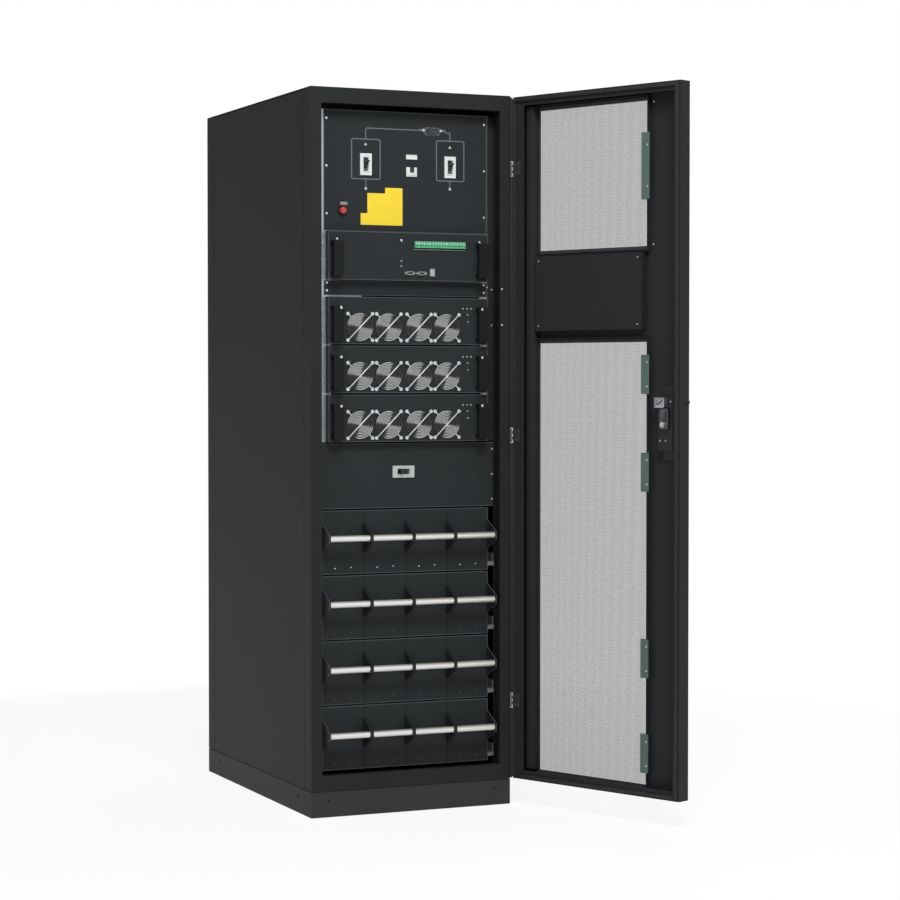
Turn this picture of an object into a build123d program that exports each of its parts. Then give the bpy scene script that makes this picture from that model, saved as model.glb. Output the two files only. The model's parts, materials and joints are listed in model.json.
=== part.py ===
from build123d import *
import os

os.makedirs("parts", exist_ok=True)

# A modular power cabinet: a floor-standing steel cabinet with an open mesh door, a switch
# panel, a bypass module, three power modules and four trays of battery packs.
# X runs from left to right seen from the front, Y from front to back, Z up. The origin is
# the centre of the footprint on the floor. All sizes are in millimetres.

# Cabinet
cabinet_width = 600.0
cabinet_depth = 900.0
cabinet_height = 2000.0
sheet = 2.0
touch_gap = 0.3

left = -cabinet_width / 2
right = cabinet_width / 2
front = -cabinet_depth / 2
back = cabinet_depth / 2

# Plinth
plinth_height = 70.0
plinth_wall = 3.0
plinth_foot = 60.0
plinth_rim = 25.0
anchor_inset = 30.0
anchor_hole = 14.0
cover_hole = 9.0
cover_hole_height = 45.0
cover_hole_inset_front = 50.0
cover_hole_inset_side = 105.0

floor_top = plinth_height + sheet
roof_sheet = 3.0
roof_underside = cabinet_height - roof_sheet

# Posts: a folded channel with a wide face, a side and two returns
post_face = 32.0
post_side = 55.0
post_return = 20.0
post_flange = 28.0
header_face = 40.0
sill_face = 42.0
member_return = 25.0

# Side and rear panels
panel_pan = 16.0
panel_seam = 2.0
rear_pan = 18.0
vent_slot_length = 170.0
vent_slot_width = 7.0
vent_pitch = 22.0
vent_rows = 12
vent_low_rise = 348.0
vent_high_drop = 437.0
vent_offset = 110.0

# Equipment rails, set back from the front of the posts
rail_setback = 45.0
rail_face = 26.0
rail_inset = 49.0
rail_clearance = 5.0
ear_overlap = 8.0
rail_outside = cabinet_width / 2 - rail_inset
panel_plane = front + rail_setback
rail_ear_plane = front + post_side
ear_end = cabinet_width / 2 - post_flange + ear_overlap

# Stack of panels and modules above the battery trays
stack_gap = 2.0
running_gap = 5.0
stack_edge = 6.0
stack_width = 2 * (rail_outside - stack_edge)
battery_panel_height = 180.0
power_module_height = 130.0
power_module_count = 3
blank_panel_height = 40.0
bypass_height = 133.0
switch_panel_height = 333.0
wide_panel_clearance = 2.0
header_clearance = 12.0

# Battery trays
tray_count = 4
sill_clearance = 7.0
pack_count = 4
tray_edge = 16.0
pack_pitch = (cabinet_width - 2 * post_face - 2 * tray_edge) / pack_count
pack_seam = 1.0
tray_face_setback = 1.0
tray_face_thickness = 4.0
tray_box_inset = 1.5
tray_box_depth = 640.0
tray_box_rise = 22.0
shelf_lip = 11.0
shelf_half_width = cabinet_width / 2 - post_flange
shelf_side = 24.0
bar_diameter = 18.0
bar_end_gap = 9.0
bar_length = pack_pitch - bar_end_gap
bar_reach = 50.0
bar_drop = 75.0
cheek_thickness = 4.0
cheek_half_height = 41.0
cheek_tip = 11.0

# Power and bypass modules
module_edge = 11.0
module_face_width = 2 * (rail_outside - module_edge)
module_face_proud = 24.0
module_body_drop = 6.0
module_body_rise = 2.0
module_body_depth = 620.0
runner_width = 61.0
runner_side = 18.0
fan_size = 80.0
fan_bore = 76.0
fan_depth = 25.0
fan_hub = 34.0
fan_blades = 7
fan_blade = (20.0, 2.0, 15.0)
fan_blade_pitch = 38.0
fan_tip_clearance = 1.5
fan_strut = (4.0, 3.0)
fan_centres = (-148.0, -63.0, 28.0, 113.0)
fan_drop = 18.0
fan_pocket_clearance = 0.5
fan_recess = 3.0
handle_inset = 22.0
handle_centre = module_face_width / 2 - handle_inset
handle_span = 96.0
handle_drop = 9.0
handle_width = 30.0
handle_bar = 8.0
handle_reach = 24.0
handle_foot = 10.0

# Switch panel
breaker_centres = (-121.5, 132.5)
breaker_drop = 148.0
breaker_case = (76.0, 60.0, 104.0)
breaker_nose_width = 34.0
breaker_nose_height = 60.0
breaker_nose_proud = 3.0
toggle_width = 14.0
toggle_slot = 38.0
toggle_drum = 9.0
toggle_lever = 6.0
toggle_reach = 19.0
toggle_clearance = 0.4
toggle_tilt = 20.0
toggle_taper = 2.0
cutout_clearance = 0.5
button_centre = -191.5
button_rise = 56.0
button_diameter = 19.0
button_proud = 12.0
button_edge = 2.0
button_collar = 27.0
button_collar_proud = 5.0
button_clearance = 0.5
plate_thickness = 1.5
plate_left = -137.0
plate_width = 125.0
plate_rise = 18.0
plate_steps = ((0.0, 32.0), (20.0, 88.0), (73.0, 104.0))

# Battery breaker, lying on its side
battery_breaker_centre = -9.5
battery_breaker_rise = 100.5
battery_nose_width = 65.0
battery_nose_height = 33.0
battery_case = (96.0, 60.0, 60.0)
battery_slot = 36.0

# Bypass terminal strip
terminal_left = 15.0
terminal_right = 168.0
terminal_height = 18.0
terminal_rise = 100.5
terminal_proud = 9.0
terminal_recess = 10.0

# Door
door_side_gap = 3.0
door_gap = 8.0
door_depth = 40.0
door_skin = 1.5
door_lip = 26.0
door_hinge_lip = 40.0
door_latch_lip = 22.0
door_end_gap = 4.0
door_rest_angle = 113.0
window_hinge_stile = 68.0
window_latch_stile = 143.0
window_sill = 27.0
window_head = 41.0
upper_window_height = 392.0
display_band = 259.0
mesh_overlap = 9.0
mesh_thickness = 1.5
mesh_bar = 8.0
mesh_columns = 8
lower_mesh_rows = 12
upper_mesh_rows = 4
surround_offset = 12.0
surround_rise = 15.0
display_cover_margins = (34.0, 16.0)
display_cover_rise = 24.0
display_size = (250.0, 160.0)
display_proud = 9.0
display_corner = 6.0
screen_recess = 2.0
screen_border = 22.0
clip_thickness = 2.0
clip_foot = 14.0
clip_wall = 12.0
lower_clip_places = (0.072, 0.287, 0.707, 0.927)
lower_clip_length = 106.0
upper_clip_places = (0.55,)
upper_clip_length = 181.0
lock_offset = 62.0
lock_size = (50.0, 22.0, 143.0)
lock_rise = 46.0
spindle_diameter = 10.0
spindle_clearance = 0.4
spindle_rise = 30.0
cam_size = (12.0, 4.0, 44.0)
handle_plate_size = (34.0, 4.0, 170.0)
lever_size = (22.0, 10.0, 130.0)
lever_gap = 6.0
lever_hub = 24.0
lever_corner = 6.0

# Hinges: the pin stands in the gap between the door and the right front post
hinge_offset = 1.0
hinge_rise = 221.0
hinge_drop = 201.0
hinge_height = 40.0
hinge_leaf = 27.0
knuckle_radius = 3.5
pin_radius = 2.0
pin_clearance = 0.3
knuckle_clearance = 0.3
knuckle_count = 5

hinge_x = right + hinge_offset
hinge_y = front - door_gap / 2
door_inner = front - door_gap
door_outer = door_inner - door_depth
door_skin_inner = door_outer + door_skin
door_hinge_edge = right - door_side_gap
door_latch_edge = left + door_side_gap
door_bottom = plinth_height + door_end_gap
door_top = cabinet_height - door_end_gap
window_right = door_hinge_edge - window_hinge_stile
window_left = door_latch_edge + window_latch_stile
upper_window = (door_top - window_head - upper_window_height, door_top - window_head)
lower_window = (door_bottom + window_sill, upper_window[0] - display_band)
lock_height = (door_bottom + door_top) / 2 + lock_rise
hinge_heights = (
    door_bottom + hinge_rise,
    (door_bottom + hinge_rise + door_top - hinge_drop) / 2,
    door_top - hinge_drop,
)
hinge_axis = Axis((hinge_x, hinge_y, 0), (0, 0, 1))

# The stack hangs down from the header, and the trays share the height that is left
module_pitch = power_module_height + running_gap
switch_top = roof_underside - header_face - header_clearance
switch_bottom = switch_top - switch_panel_height
bypass_bottom = switch_bottom - stack_gap - bypass_height
blank_bottom = bypass_bottom - stack_gap - blank_panel_height
first_module_bottom = blank_bottom - power_module_count * module_pitch
battery_panel_bottom = first_module_bottom - running_gap - battery_panel_height
lowest_tray = floor_top + sill_face + sill_clearance
tray_pitch = (battery_panel_bottom - lowest_tray) / tray_count
tray_face_height = tray_pitch - running_gap
module_body_width = 2 * (rail_outside - rail_face - rail_clearance)
tray_box_width = pack_count * pack_pitch - pack_seam - 2 * tray_box_inset
breaker_height = switch_top - breaker_drop
button_height = switch_bottom + button_rise
battery_breaker_height = battery_panel_bottom + battery_breaker_rise
terminal_centre = bypass_bottom + terminal_rise
tray_face_front = panel_plane + tray_face_setback
bar_axis_y = tray_face_front - bar_reach
module_front = panel_plane - module_face_proud
switch_front = panel_plane - sheet
nose_front = switch_front - breaker_nose_proud
toggle_room = (nose_front, panel_plane + 2 * toggle_drum + toggle_clearance)


def block(x, y, z, mode=Mode.ADD):
    """A rectangular block between two values along each axis."""
    with Locations(((x[0] + x[1]) / 2, (y[0] + y[1]) / 2, (z[0] + z[1]) / 2)):
        Box(x[1] - x[0], y[1] - y[0], z[1] - z[0], mode=mode)


def bar_along(axis, centre, radius, length, mode=Mode.ADD):
    """A round bar along X, Y or Z."""
    turn = {"X": (0, 90, 0), "Y": (90, 0, 0), "Z": (0, 0, 0)}[axis]
    with Locations(Location(centre, turn)):
        Cylinder(radius, length, mode=mode)


def save(solid, name):
    """Labels a finished piece and writes it."""
    solid.label = name
    export_step(solid, f"parts/{name}.step")


def swung(piece):
    """The piece of the shut door, swung open to where the door stands."""
    return piece.part.rotate(hinge_axis, door_rest_angle)


# The plinth: a ring of sheet with a foot that is bolted down and a rim that carries the floor
with BuildPart() as plinth:
    with BuildSketch(Plane.XY) as ring:
        Rectangle(cabinet_width, cabinet_depth)
        Rectangle(cabinet_width - 2 * plinth_wall, cabinet_depth - 2 * plinth_wall, mode=Mode.SUBTRACT)
    extrude(amount=plinth_height)
    with BuildSketch(Plane.XY) as foot:
        Rectangle(cabinet_width, cabinet_depth)
        Rectangle(cabinet_width - 2 * plinth_foot, cabinet_depth - 2 * plinth_foot, mode=Mode.SUBTRACT)
    extrude(amount=plinth_wall)
    with BuildSketch(Plane.XY.offset(plinth_height - plinth_wall)) as rim:
        Rectangle(cabinet_width, cabinet_depth)
        Rectangle(cabinet_width - 2 * plinth_rim, cabinet_depth - 2 * plinth_rim, mode=Mode.SUBTRACT)
    extrude(amount=plinth_wall)
    with BuildSketch(Plane.XY) as anchors:
        with GridLocations(cabinet_width - 2 * anchor_inset, cabinet_depth - 2 * anchor_inset, 2, 2):
            Circle(anchor_hole / 2)
    extrude(amount=plinth_wall, mode=Mode.SUBTRACT)
    for side in (-1, 1):
        bar_along("Y", (side * (cabinet_width / 2 - cover_hole_inset_front), 0, cover_hole_height),
                  cover_hole / 2, cabinet_depth, Mode.SUBTRACT)
        bar_along("X", (0, side * (cabinet_depth / 2 - cover_hole_inset_side), cover_hole_height),
                  cover_hole / 2, cabinet_width, Mode.SUBTRACT)
save(plinth.part, "plinth")

with BuildPart() as floor_pan:
    block((left + sheet, right - sheet), (front + sheet, back - sheet), (plinth_height, floor_top))
save(floor_pan.part, "floor_pan")

with BuildPart() as roof_panel:
    block((left, right), (front, back), (roof_underside, cabinet_height))
    fillet(roof_panel.edges().filter_by(Axis.Z), radius=sheet)
save(roof_panel.part, "roof_panel")


def post_pair(name, outward):
    """Two folded posts at the front (outward = -1) or the back (outward = 1) corners."""
    face_y = outward * cabinet_depth / 2
    with BuildPart() as posts:
        with BuildSketch(Plane.XY.offset(floor_top)) as profile:
            with BuildLine() as fold:
                inner = right - post_face
                Polyline(
                    (inner, face_y - outward * post_return),
                    (inner, face_y),
                    (right, face_y),
                    (right, face_y - outward * post_side),
                    (right - post_flange, face_y - outward * post_side),
                    (right - post_flange, face_y - outward * (post_side - sheet)),
                    (right - sheet, face_y - outward * (post_side - sheet)),
                    (right - sheet, face_y - outward * sheet),
                    (inner + sheet, face_y - outward * sheet),
                    (inner + sheet, face_y - outward * post_return),
                    close=True,
                )
            make_face()
        extrude(amount=roof_underside - floor_top)
        mirror(about=Plane.YZ)
    save(posts.part, name)


post_pair("front_posts", -1)
post_pair("rear_posts", 1)

# The header and the sill are channels between the front posts
opening_half = cabinet_width / 2 - post_face
for name, low, high in (
    ("header", roof_underside - header_face, roof_underside),
    ("sill", floor_top, floor_top + sill_face),
):
    with BuildPart() as member:
        block((-opening_half, opening_half), (front, front + sheet), (low, high))
        block((-opening_half, opening_half), (front, front + member_return), (low, low + sheet))
        block((-opening_half, opening_half), (front, front + member_return), (high - sheet, high))
    save(member.part, name)

# Side panels: pans whose flanges turn inward between the posts
for name, side in (("left_side_panel", -1), ("right_side_panel", 1)):
    outer = side * cabinet_width / 2
    skin = outer - side * sheet
    inner = outer - side * panel_pan
    pan_y = cabinet_depth / 2 - post_side - panel_seam
    pan_top = roof_underside - panel_seam
    with BuildPart() as pan:
        block(sorted((outer, inner)), (-pan_y, pan_y), (floor_top, pan_top))
        block(sorted((skin, inner)), (-pan_y + sheet, pan_y - sheet),
              (floor_top + sheet, pan_top - sheet), Mode.SUBTRACT)
    save(pan.part, name)

# The rear panel: a pan between the rear posts with two fields of vent slots
with BuildPart() as rear_panel:
    block((-opening_half, opening_half), (back - rear_pan, back), (floor_top, roof_underside))
    block((-opening_half + sheet, opening_half - sheet), (back - rear_pan, back - sheet),
          (floor_top + sheet, roof_underside - sheet), Mode.SUBTRACT)
    for height in (floor_top + vent_low_rise, roof_underside - vent_high_drop):
        with BuildSketch(Plane.XZ.offset(-back)) as vents:
            with Locations((0, height)):
                with GridLocations(2 * vent_offset, vent_pitch, 2, vent_rows):
                    SlotOverall(vent_slot_length, vent_slot_width)
        extrude(amount=sheet, mode=Mode.SUBTRACT)
save(rear_panel.part, "rear_panel")

# Equipment rails: four folded strips whose ears lie behind the flanges of the posts
with BuildPart() as equipment_rails:
    with BuildSketch(Plane.XY.offset(first_module_bottom)) as profile:
        with BuildLine() as fold:
            Polyline(
                (rail_outside - rail_face, panel_plane),
                (rail_outside, panel_plane),
                (rail_outside, rail_ear_plane),
                (ear_end, rail_ear_plane),
                (ear_end, rail_ear_plane + sheet),
                (rail_outside - sheet, rail_ear_plane + sheet),
                (rail_outside - sheet, panel_plane + sheet),
                (rail_outside - rail_face, panel_plane + sheet),
                close=True,
            )
        make_face()
    extrude(amount=switch_top - first_module_bottom)
    mirror(about=Plane.YZ)
    mirror(about=Plane.XZ)
save(equipment_rails.part, "equipment_rails")

# Shelves that carry the battery trays, one under each row
shelf_start = tray_face_front + tray_face_thickness + touch_gap
shelf_end = cabinet_depth / 2 - post_side + sheet
with BuildPart() as tray_shelves:
    for row in range(tray_count):
        top = lowest_tray + row * tray_pitch + tray_box_rise - touch_gap
        half = shelf_half_width
        block((-half, half), (shelf_start, shelf_end), (top - sheet, top))
        block((-half, half), (shelf_start, shelf_start + sheet), (top - shelf_lip, top))
        for side in (-1, 1):
            block(sorted((side * half, side * (half - sheet))), (-shelf_end, shelf_end),
                  (top - sheet, top + shelf_side))
save(tray_shelves.part, "tray_shelves")

# Runners under the bypass module and the power modules, between the front and rear rails
module_bottoms = [first_module_bottom + slot * module_pitch for slot in range(power_module_count)]
runner_y = -panel_plane - sheet
with BuildPart() as module_runners:
    for bottom in module_bottoms + [bypass_bottom]:
        top = bottom + module_body_rise - touch_gap
        for side in (-1, 1):
            web = side * (rail_outside - sheet)
            block(sorted((web, side * (rail_outside - runner_width))), (-runner_y, runner_y),
                  (top - sheet, top))
            block(sorted((web, web - side * sheet)), (-runner_y, runner_y),
                  (top - sheet, top + runner_side))
save(module_runners.part, "module_runners")


def breaker_nose(width, height, centre):
    """The part of a breaker that stands in its cut-out."""
    x, z = centre
    block((x - width / 2, x + width / 2), (nose_front, panel_plane), (z - height / 2, z + height / 2))


# The switch panel with cut-outs for the breakers and a collar for the button
with BuildPart() as switch_panel:
    block((-stack_width / 2, stack_width / 2), (switch_front, panel_plane),
          (switch_bottom, switch_top))
    for x in breaker_centres:
        half_w = breaker_nose_width / 2 + cutout_clearance
        half_h = breaker_nose_height / 2 + cutout_clearance
        block((x - half_w, x + half_w), (switch_front, panel_plane),
              (breaker_height - half_h, breaker_height + half_h), Mode.SUBTRACT)
    bar_along("Y", (button_centre, switch_front - button_collar_proud / 2, button_height),
              button_collar / 2, button_collar_proud)
    bar_along("Y", (button_centre, panel_plane, button_height),
              button_diameter / 2 + button_clearance, 4 * button_collar_proud, Mode.SUBTRACT)
save(switch_panel.part, "switch_panel")

# Breakers behind the switch panel: a case and a nose with a slot for the toggle
with BuildPart() as breakers:
    for x in breaker_centres:
        w, d, h = breaker_case
        block((x - w / 2, x + w / 2), (panel_plane, panel_plane + d),
              (breaker_height - h / 2, breaker_height + h / 2))
        breaker_nose(breaker_nose_width, breaker_nose_height, (x, breaker_height))
        slot_half = toggle_width / 2 + toggle_clearance
        block((x - slot_half, x + slot_half), toggle_room,
              (breaker_height - toggle_slot / 2, breaker_height + toggle_slot / 2), Mode.SUBTRACT)
save(breakers.part, "breakers")


def toggle(name, centre, upright):
    """A rocker drum in the slot of its breaker with a lever that stands at the on position."""
    x, z = centre
    drum_y = panel_plane + toggle_drum
    drum_axis = "X" if upright else "Z"
    with BuildPart() as rocker:
        bar_along(drum_axis, (x, drum_y, z), toggle_drum, toggle_width)
        reach = toggle_drum + toggle_reach
        with BuildSketch(Plane((x, drum_y, z), x_dir=(1, 0, 0) if upright else (0, 0, 1),
                               z_dir=(0, -1, 0))) as lever:
            Rectangle(toggle_width, toggle_lever)
        extrude(amount=reach, taper=toggle_taper)
    turn = Axis((x, drum_y, z), (1, 0, 0) if upright else (0, 0, 1))
    save(rocker.part.rotate(turn, -toggle_tilt), name)


for name, x in (("input_toggle", breaker_centres[0]), ("bypass_toggle", breaker_centres[1])):
    toggle(name, (x, breaker_height), True)

with BuildPart() as emergency_button:
    bar_along("Y", (button_centre, switch_front - button_proud / 2, button_height),
              button_diameter / 2, button_proud)
    fillet(emergency_button.faces().sort_by(Axis.Y)[0].edges(), radius=button_edge)
save(emergency_button.part, "emergency_button")

# The stepped instruction plate, left blank
with BuildPart() as instruction_plate:
    with BuildSketch(Plane.XZ.offset(-switch_front)) as outline:
        with BuildLine() as edge:
            low = switch_bottom + plate_rise
            corners = [(plate_left, low)]
            for offset, rise in plate_steps:
                corners += [(plate_left + offset, corners[-1][1]), (plate_left + offset, low + rise)]
            corners += [(plate_left + plate_width, corners[-1][1]), (plate_left + plate_width, low)]
            Polyline(*corners[2:], (plate_left, low), close=True)
        make_face()
    extrude(amount=plate_thickness)
save(instruction_plate.part, "instruction_plate")


def add_handle(x, z, y_face):
    """A bow handle on a module face: two feet and an upright bar."""
    bar_back = y_face - handle_reach + handle_bar
    for side in (-1, 1):
        tip = z + side * handle_span / 2
        block((x - handle_width / 2, x + handle_width / 2), (y_face - handle_reach, y_face),
              sorted((tip, tip - side * handle_foot)))
    block((x - handle_width / 2, x + handle_width / 2), (y_face - handle_reach, bar_back),
          (z - handle_span / 2, z + handle_span / 2))


def module_shape(bottom, height, depth):
    """The face and the body of one module, with two bow handles."""
    block((-module_face_width / 2, module_face_width / 2),
          (module_front, panel_plane - touch_gap), (bottom, bottom + height))
    block((-module_body_width / 2, module_body_width / 2), (panel_plane - touch_gap, panel_plane + depth),
          (bottom + module_body_rise, bottom + height - module_body_drop))
    for side in (-1, 1):
        add_handle(side * handle_centre, bottom + height / 2 - handle_drop, module_front)


with BuildPart() as bypass_module:
    module_shape(bypass_bottom, bypass_height, module_body_depth)
    block((terminal_left, terminal_right), (module_front, module_front + terminal_recess),
          (terminal_centre - terminal_height / 2, terminal_centre + terminal_height / 2), Mode.SUBTRACT)
save(bypass_module.part, "bypass_module")

with BuildPart() as terminal_strip:
    block((terminal_left, terminal_right), (module_front - terminal_proud, module_front + terminal_recess),
          (terminal_centre - terminal_height / 2, terminal_centre + terminal_height / 2))
save(terminal_strip.part, "terminal_strip")

# Power modules, numbered from the top, with four fans behind openings in each face
for slot, bottom in enumerate(reversed(module_bottoms), start=1):
    fan_z = bottom + power_module_height / 2 - fan_drop
    pocket = fan_size / 2 + fan_pocket_clearance
    fan_front = module_front + fan_recess
    with BuildPart() as case:
        module_shape(bottom, power_module_height, module_body_depth)
        for x in fan_centres:
            bar_along("Y", (x, module_front, fan_z), fan_bore / 2, 2 * fan_recess, Mode.SUBTRACT)
            block((x - pocket, x + pocket), (fan_front, fan_front + fan_depth),
                  (fan_z - pocket, fan_z + pocket), Mode.SUBTRACT)
    save(case.part, f"power_module_{slot}_case")

    with BuildPart() as fans:
        for x in fan_centres:
            half = fan_size / 2
            block((x - half, x + half), (fan_front, fan_front + fan_depth), (fan_z - half, fan_z + half))
            bar_along("Y", (x, fan_front + fan_depth / 2, fan_z), fan_bore / 2, fan_depth, Mode.SUBTRACT)
            bar_along("Y", (x, fan_front + fan_depth / 2, fan_z), fan_hub / 2, fan_depth)
            with Locations(Plane((x, fan_front + fan_depth / 2, fan_z), z_dir=(0, 1, 0)).location):
                with PolarLocations((fan_bore - fan_blade[0]) / 2 - fan_tip_clearance, fan_blades):
                    Box(*fan_blade, rotation=(fan_blade_pitch, 0, 0))
            strut_width, strut_depth = fan_strut
            strut_y = (fan_front + fan_depth - strut_depth, fan_front + fan_depth)
            block((x - half, x + half), strut_y, (fan_z - strut_width / 2, fan_z + strut_width / 2))
            block((x - strut_width / 2, x + strut_width / 2), strut_y, (fan_z - half, fan_z + half))
    save(fans.part, f"power_module_{slot}_fans")

with BuildPart() as blank_panel:
    block((-stack_width / 2, stack_width / 2), (switch_front, panel_plane),
          (blank_bottom, blank_bottom + blank_panel_height))
save(blank_panel.part, "blank_panel")

# The battery breaker panel spans the opening and has ears behind the flanges of the posts
with BuildPart() as battery_panel:
    half = opening_half - wide_panel_clearance
    z_span = (battery_panel_bottom, battery_panel_bottom + battery_panel_height)
    block((-half, half), (switch_front, panel_plane), z_span)
    for side in (-1, 1):
        block(sorted((side * half, side * (half - sheet))), (panel_plane, rail_ear_plane + sheet), z_span)
        block(sorted((side * half, side * ear_end)),
              (rail_ear_plane, rail_ear_plane + sheet), z_span)
    half_w = battery_nose_width / 2 + cutout_clearance
    half_h = battery_nose_height / 2 + cutout_clearance
    block((battery_breaker_centre - half_w, battery_breaker_centre + half_w), (switch_front, panel_plane),
          (battery_breaker_height - half_h, battery_breaker_height + half_h), Mode.SUBTRACT)
save(battery_panel.part, "battery_panel")

with BuildPart() as battery_breaker:
    x, z = battery_breaker_centre, battery_breaker_height
    w, d, h = battery_case
    block((x - w / 2, x + w / 2), (panel_plane, panel_plane + d), (z - h / 2, z + h / 2))
    breaker_nose(battery_nose_width, battery_nose_height, (x, z))
    slot_half = toggle_width / 2 + toggle_clearance
    block((x - battery_slot / 2, x + battery_slot / 2), toggle_room,
          (z - slot_half, z + slot_half), Mode.SUBTRACT)
save(battery_breaker.part, "battery_breaker")
toggle("battery_toggle", (battery_breaker_centre, battery_breaker_height), False)

# Battery trays, numbered from the top: a box, four pack fronts with cheeks, four pull bars
for row in range(tray_count):
    number = tray_count - row
    face_bottom = lowest_tray + row * tray_pitch
    face_top = face_bottom + tray_face_height
    bar_z = face_top - bar_drop
    face_back = tray_face_front + tray_face_thickness
    pack_centres = [(index - (pack_count - 1) / 2) * pack_pitch for index in range(pack_count)]

    with BuildPart() as box:
        block((-tray_box_width / 2, tray_box_width / 2), (face_back, face_back + tray_box_depth),
              (face_bottom + tray_box_rise, face_top))
    save(box.part, f"battery_tray_{number}_box")

    with BuildPart() as fronts:
        half = (pack_pitch - pack_seam) / 2
        for x in pack_centres:
            block((x - half, x + half), (tray_face_front, face_back), (face_bottom, face_top))
            for side in (-1, 1):
                outer = x + side * (bar_length / 2 + cheek_thickness)
                with BuildSketch(Plane.YZ.offset(min(outer, outer - side * cheek_thickness))) as cheek:
                    with BuildLine() as edge:
                        Polyline(
                            (tray_face_front, bar_z + cheek_half_height),
                            (bar_axis_y - cheek_tip, bar_z + cheek_tip),
                            (bar_axis_y - cheek_tip, bar_z - cheek_tip),
                            (tray_face_front, bar_z - cheek_half_height),
                            close=True,
                        )
                    make_face()
                extrude(amount=cheek_thickness)
    save(fronts.part, f"battery_tray_{number}_fronts")

    with BuildPart() as bars:
        for x in pack_centres:
            bar_along("X", (x, bar_axis_y, bar_z), bar_diameter / 2, bar_length)
    save(bars.part, f"battery_tray_{number}_bars")

# The door, drawn shut: a folded pan with lips and two windows
with BuildPart() as door_frame:
    block((door_latch_edge, door_hinge_edge), (door_outer, door_inner), (door_bottom, door_top))
    block((door_latch_edge + door_skin, door_hinge_edge - door_skin),
          (door_skin_inner, door_inner - door_skin),
          (door_bottom + door_skin, door_top - door_skin), Mode.SUBTRACT)
    block((door_latch_edge + door_latch_lip, door_hinge_edge - door_hinge_lip),
          (door_inner - door_skin, door_inner),
          (door_bottom + door_lip, door_top - door_lip), Mode.SUBTRACT)
    for window in (lower_window, upper_window):
        block((window_left, window_right), (door_outer, door_skin_inner), window, Mode.SUBTRACT)
    lock_x = door_latch_edge + lock_offset
    bar_along("Y", (lock_x, door_outer, lock_height), spindle_diameter / 2 + spindle_clearance,
              4 * door_skin, Mode.SUBTRACT)
save(swung(door_frame), "door_frame")

# A frame of flat bar stands on the skin round each window
with BuildPart() as window_frames:
    ring = surround_offset
    frame_y = (door_skin_inner, door_skin_inner + surround_rise)
    for low, high in (lower_window, upper_window):
        outer = ring + sheet
        block((window_left - outer, window_right + outer), frame_y, (low - outer, high + outer))
        block((window_left - ring, window_right + ring), frame_y, (low - ring, high + ring), Mode.SUBTRACT)
save(swung(window_frames), "window_frames")

# Each sheet of mesh carries a plain grid of openings
with BuildPart() as door_mesh:
    mesh_back = door_skin_inner + mesh_thickness
    column_pitch = (window_right - window_left) / mesh_columns
    for (low, high), rows in ((lower_window, lower_mesh_rows), (upper_window, upper_mesh_rows)):
        row_pitch = (high - low) / rows
        block((window_left - mesh_overlap, window_right + mesh_overlap), (door_skin_inner, mesh_back),
              (low - mesh_overlap, high + mesh_overlap))
        with BuildSketch(Plane.XZ.offset(-mesh_back)) as grid:
            with Locations(((window_left + window_right) / 2, (low + high) / 2)):
                with GridLocations(column_pitch, row_pitch, mesh_columns, rows):
                    Rectangle(column_pitch - mesh_bar, row_pitch - mesh_bar)
        extrude(amount=mesh_thickness, mode=Mode.SUBTRACT)
save(swung(door_mesh), "door_mesh")

with BuildPart() as mesh_clips:
    wall_x = window_left - surround_offset
    for window, places, length in (
        (lower_window, lower_clip_places, lower_clip_length),
        (upper_window, upper_clip_places, upper_clip_length),
    ):
        for place in places:
            middle = window[0] + place * (window[1] - window[0])
            span = (middle - length / 2, middle + length / 2)
            block((wall_x, wall_x + clip_foot), (mesh_back, mesh_back + clip_thickness), span)
            block((wall_x, wall_x + clip_thickness), (mesh_back, mesh_back + clip_wall), span)
save(swung(mesh_clips), "mesh_clips")

with BuildPart() as display_cover:
    cover_low = lower_window[1] + display_cover_margins[0]
    cover_high = upper_window[0] - display_cover_margins[1]
    cover_x = (window_left, window_right)
    block(cover_x, (door_skin_inner, door_skin_inner + display_cover_rise), (cover_low, cover_high))
    block((cover_x[0] + sheet, cover_x[1] - sheet),
          (door_skin_inner, door_skin_inner + display_cover_rise - sheet),
          (cover_low + sheet, cover_high - sheet), Mode.SUBTRACT)
save(swung(display_cover), "display_cover")

with BuildPart() as display:
    centre_x = (window_left + window_right) / 2
    centre_z = (cover_low + cover_high) / 2
    half_w, half_h = display_size[0] / 2, display_size[1] / 2
    block((centre_x - half_w, centre_x + half_w), (door_outer - display_proud, door_outer),
          (centre_z - half_h, centre_z + half_h))
    fillet(display.edges().filter_by(Axis.Y), radius=display_corner)
    block((centre_x - half_w + screen_border, centre_x + half_w - screen_border),
          (door_outer - display_proud, door_outer - display_proud + screen_recess),
          (centre_z - half_h + screen_border, centre_z + half_h - screen_border), Mode.SUBTRACT)
save(swung(display), "display")

# The door lock: a case inside and a handle plate outside, both bored for the spindle
with BuildPart() as door_lock:
    w, d, h = lock_size
    block((lock_x - w / 2, lock_x + w / 2), (door_skin_inner, door_skin_inner + d),
          (lock_height - h / 2, lock_height + h / 2))
    w, d, h = handle_plate_size
    block((lock_x - w / 2, lock_x + w / 2), (door_outer - d, door_outer),
          (lock_height - h / 2, lock_height + h / 2))
    bar_along("Y", (lock_x, door_outer, lock_height), spindle_diameter / 2 + spindle_clearance,
              4 * spindle_rise, Mode.SUBTRACT)
save(swung(door_lock), "door_lock")

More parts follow.
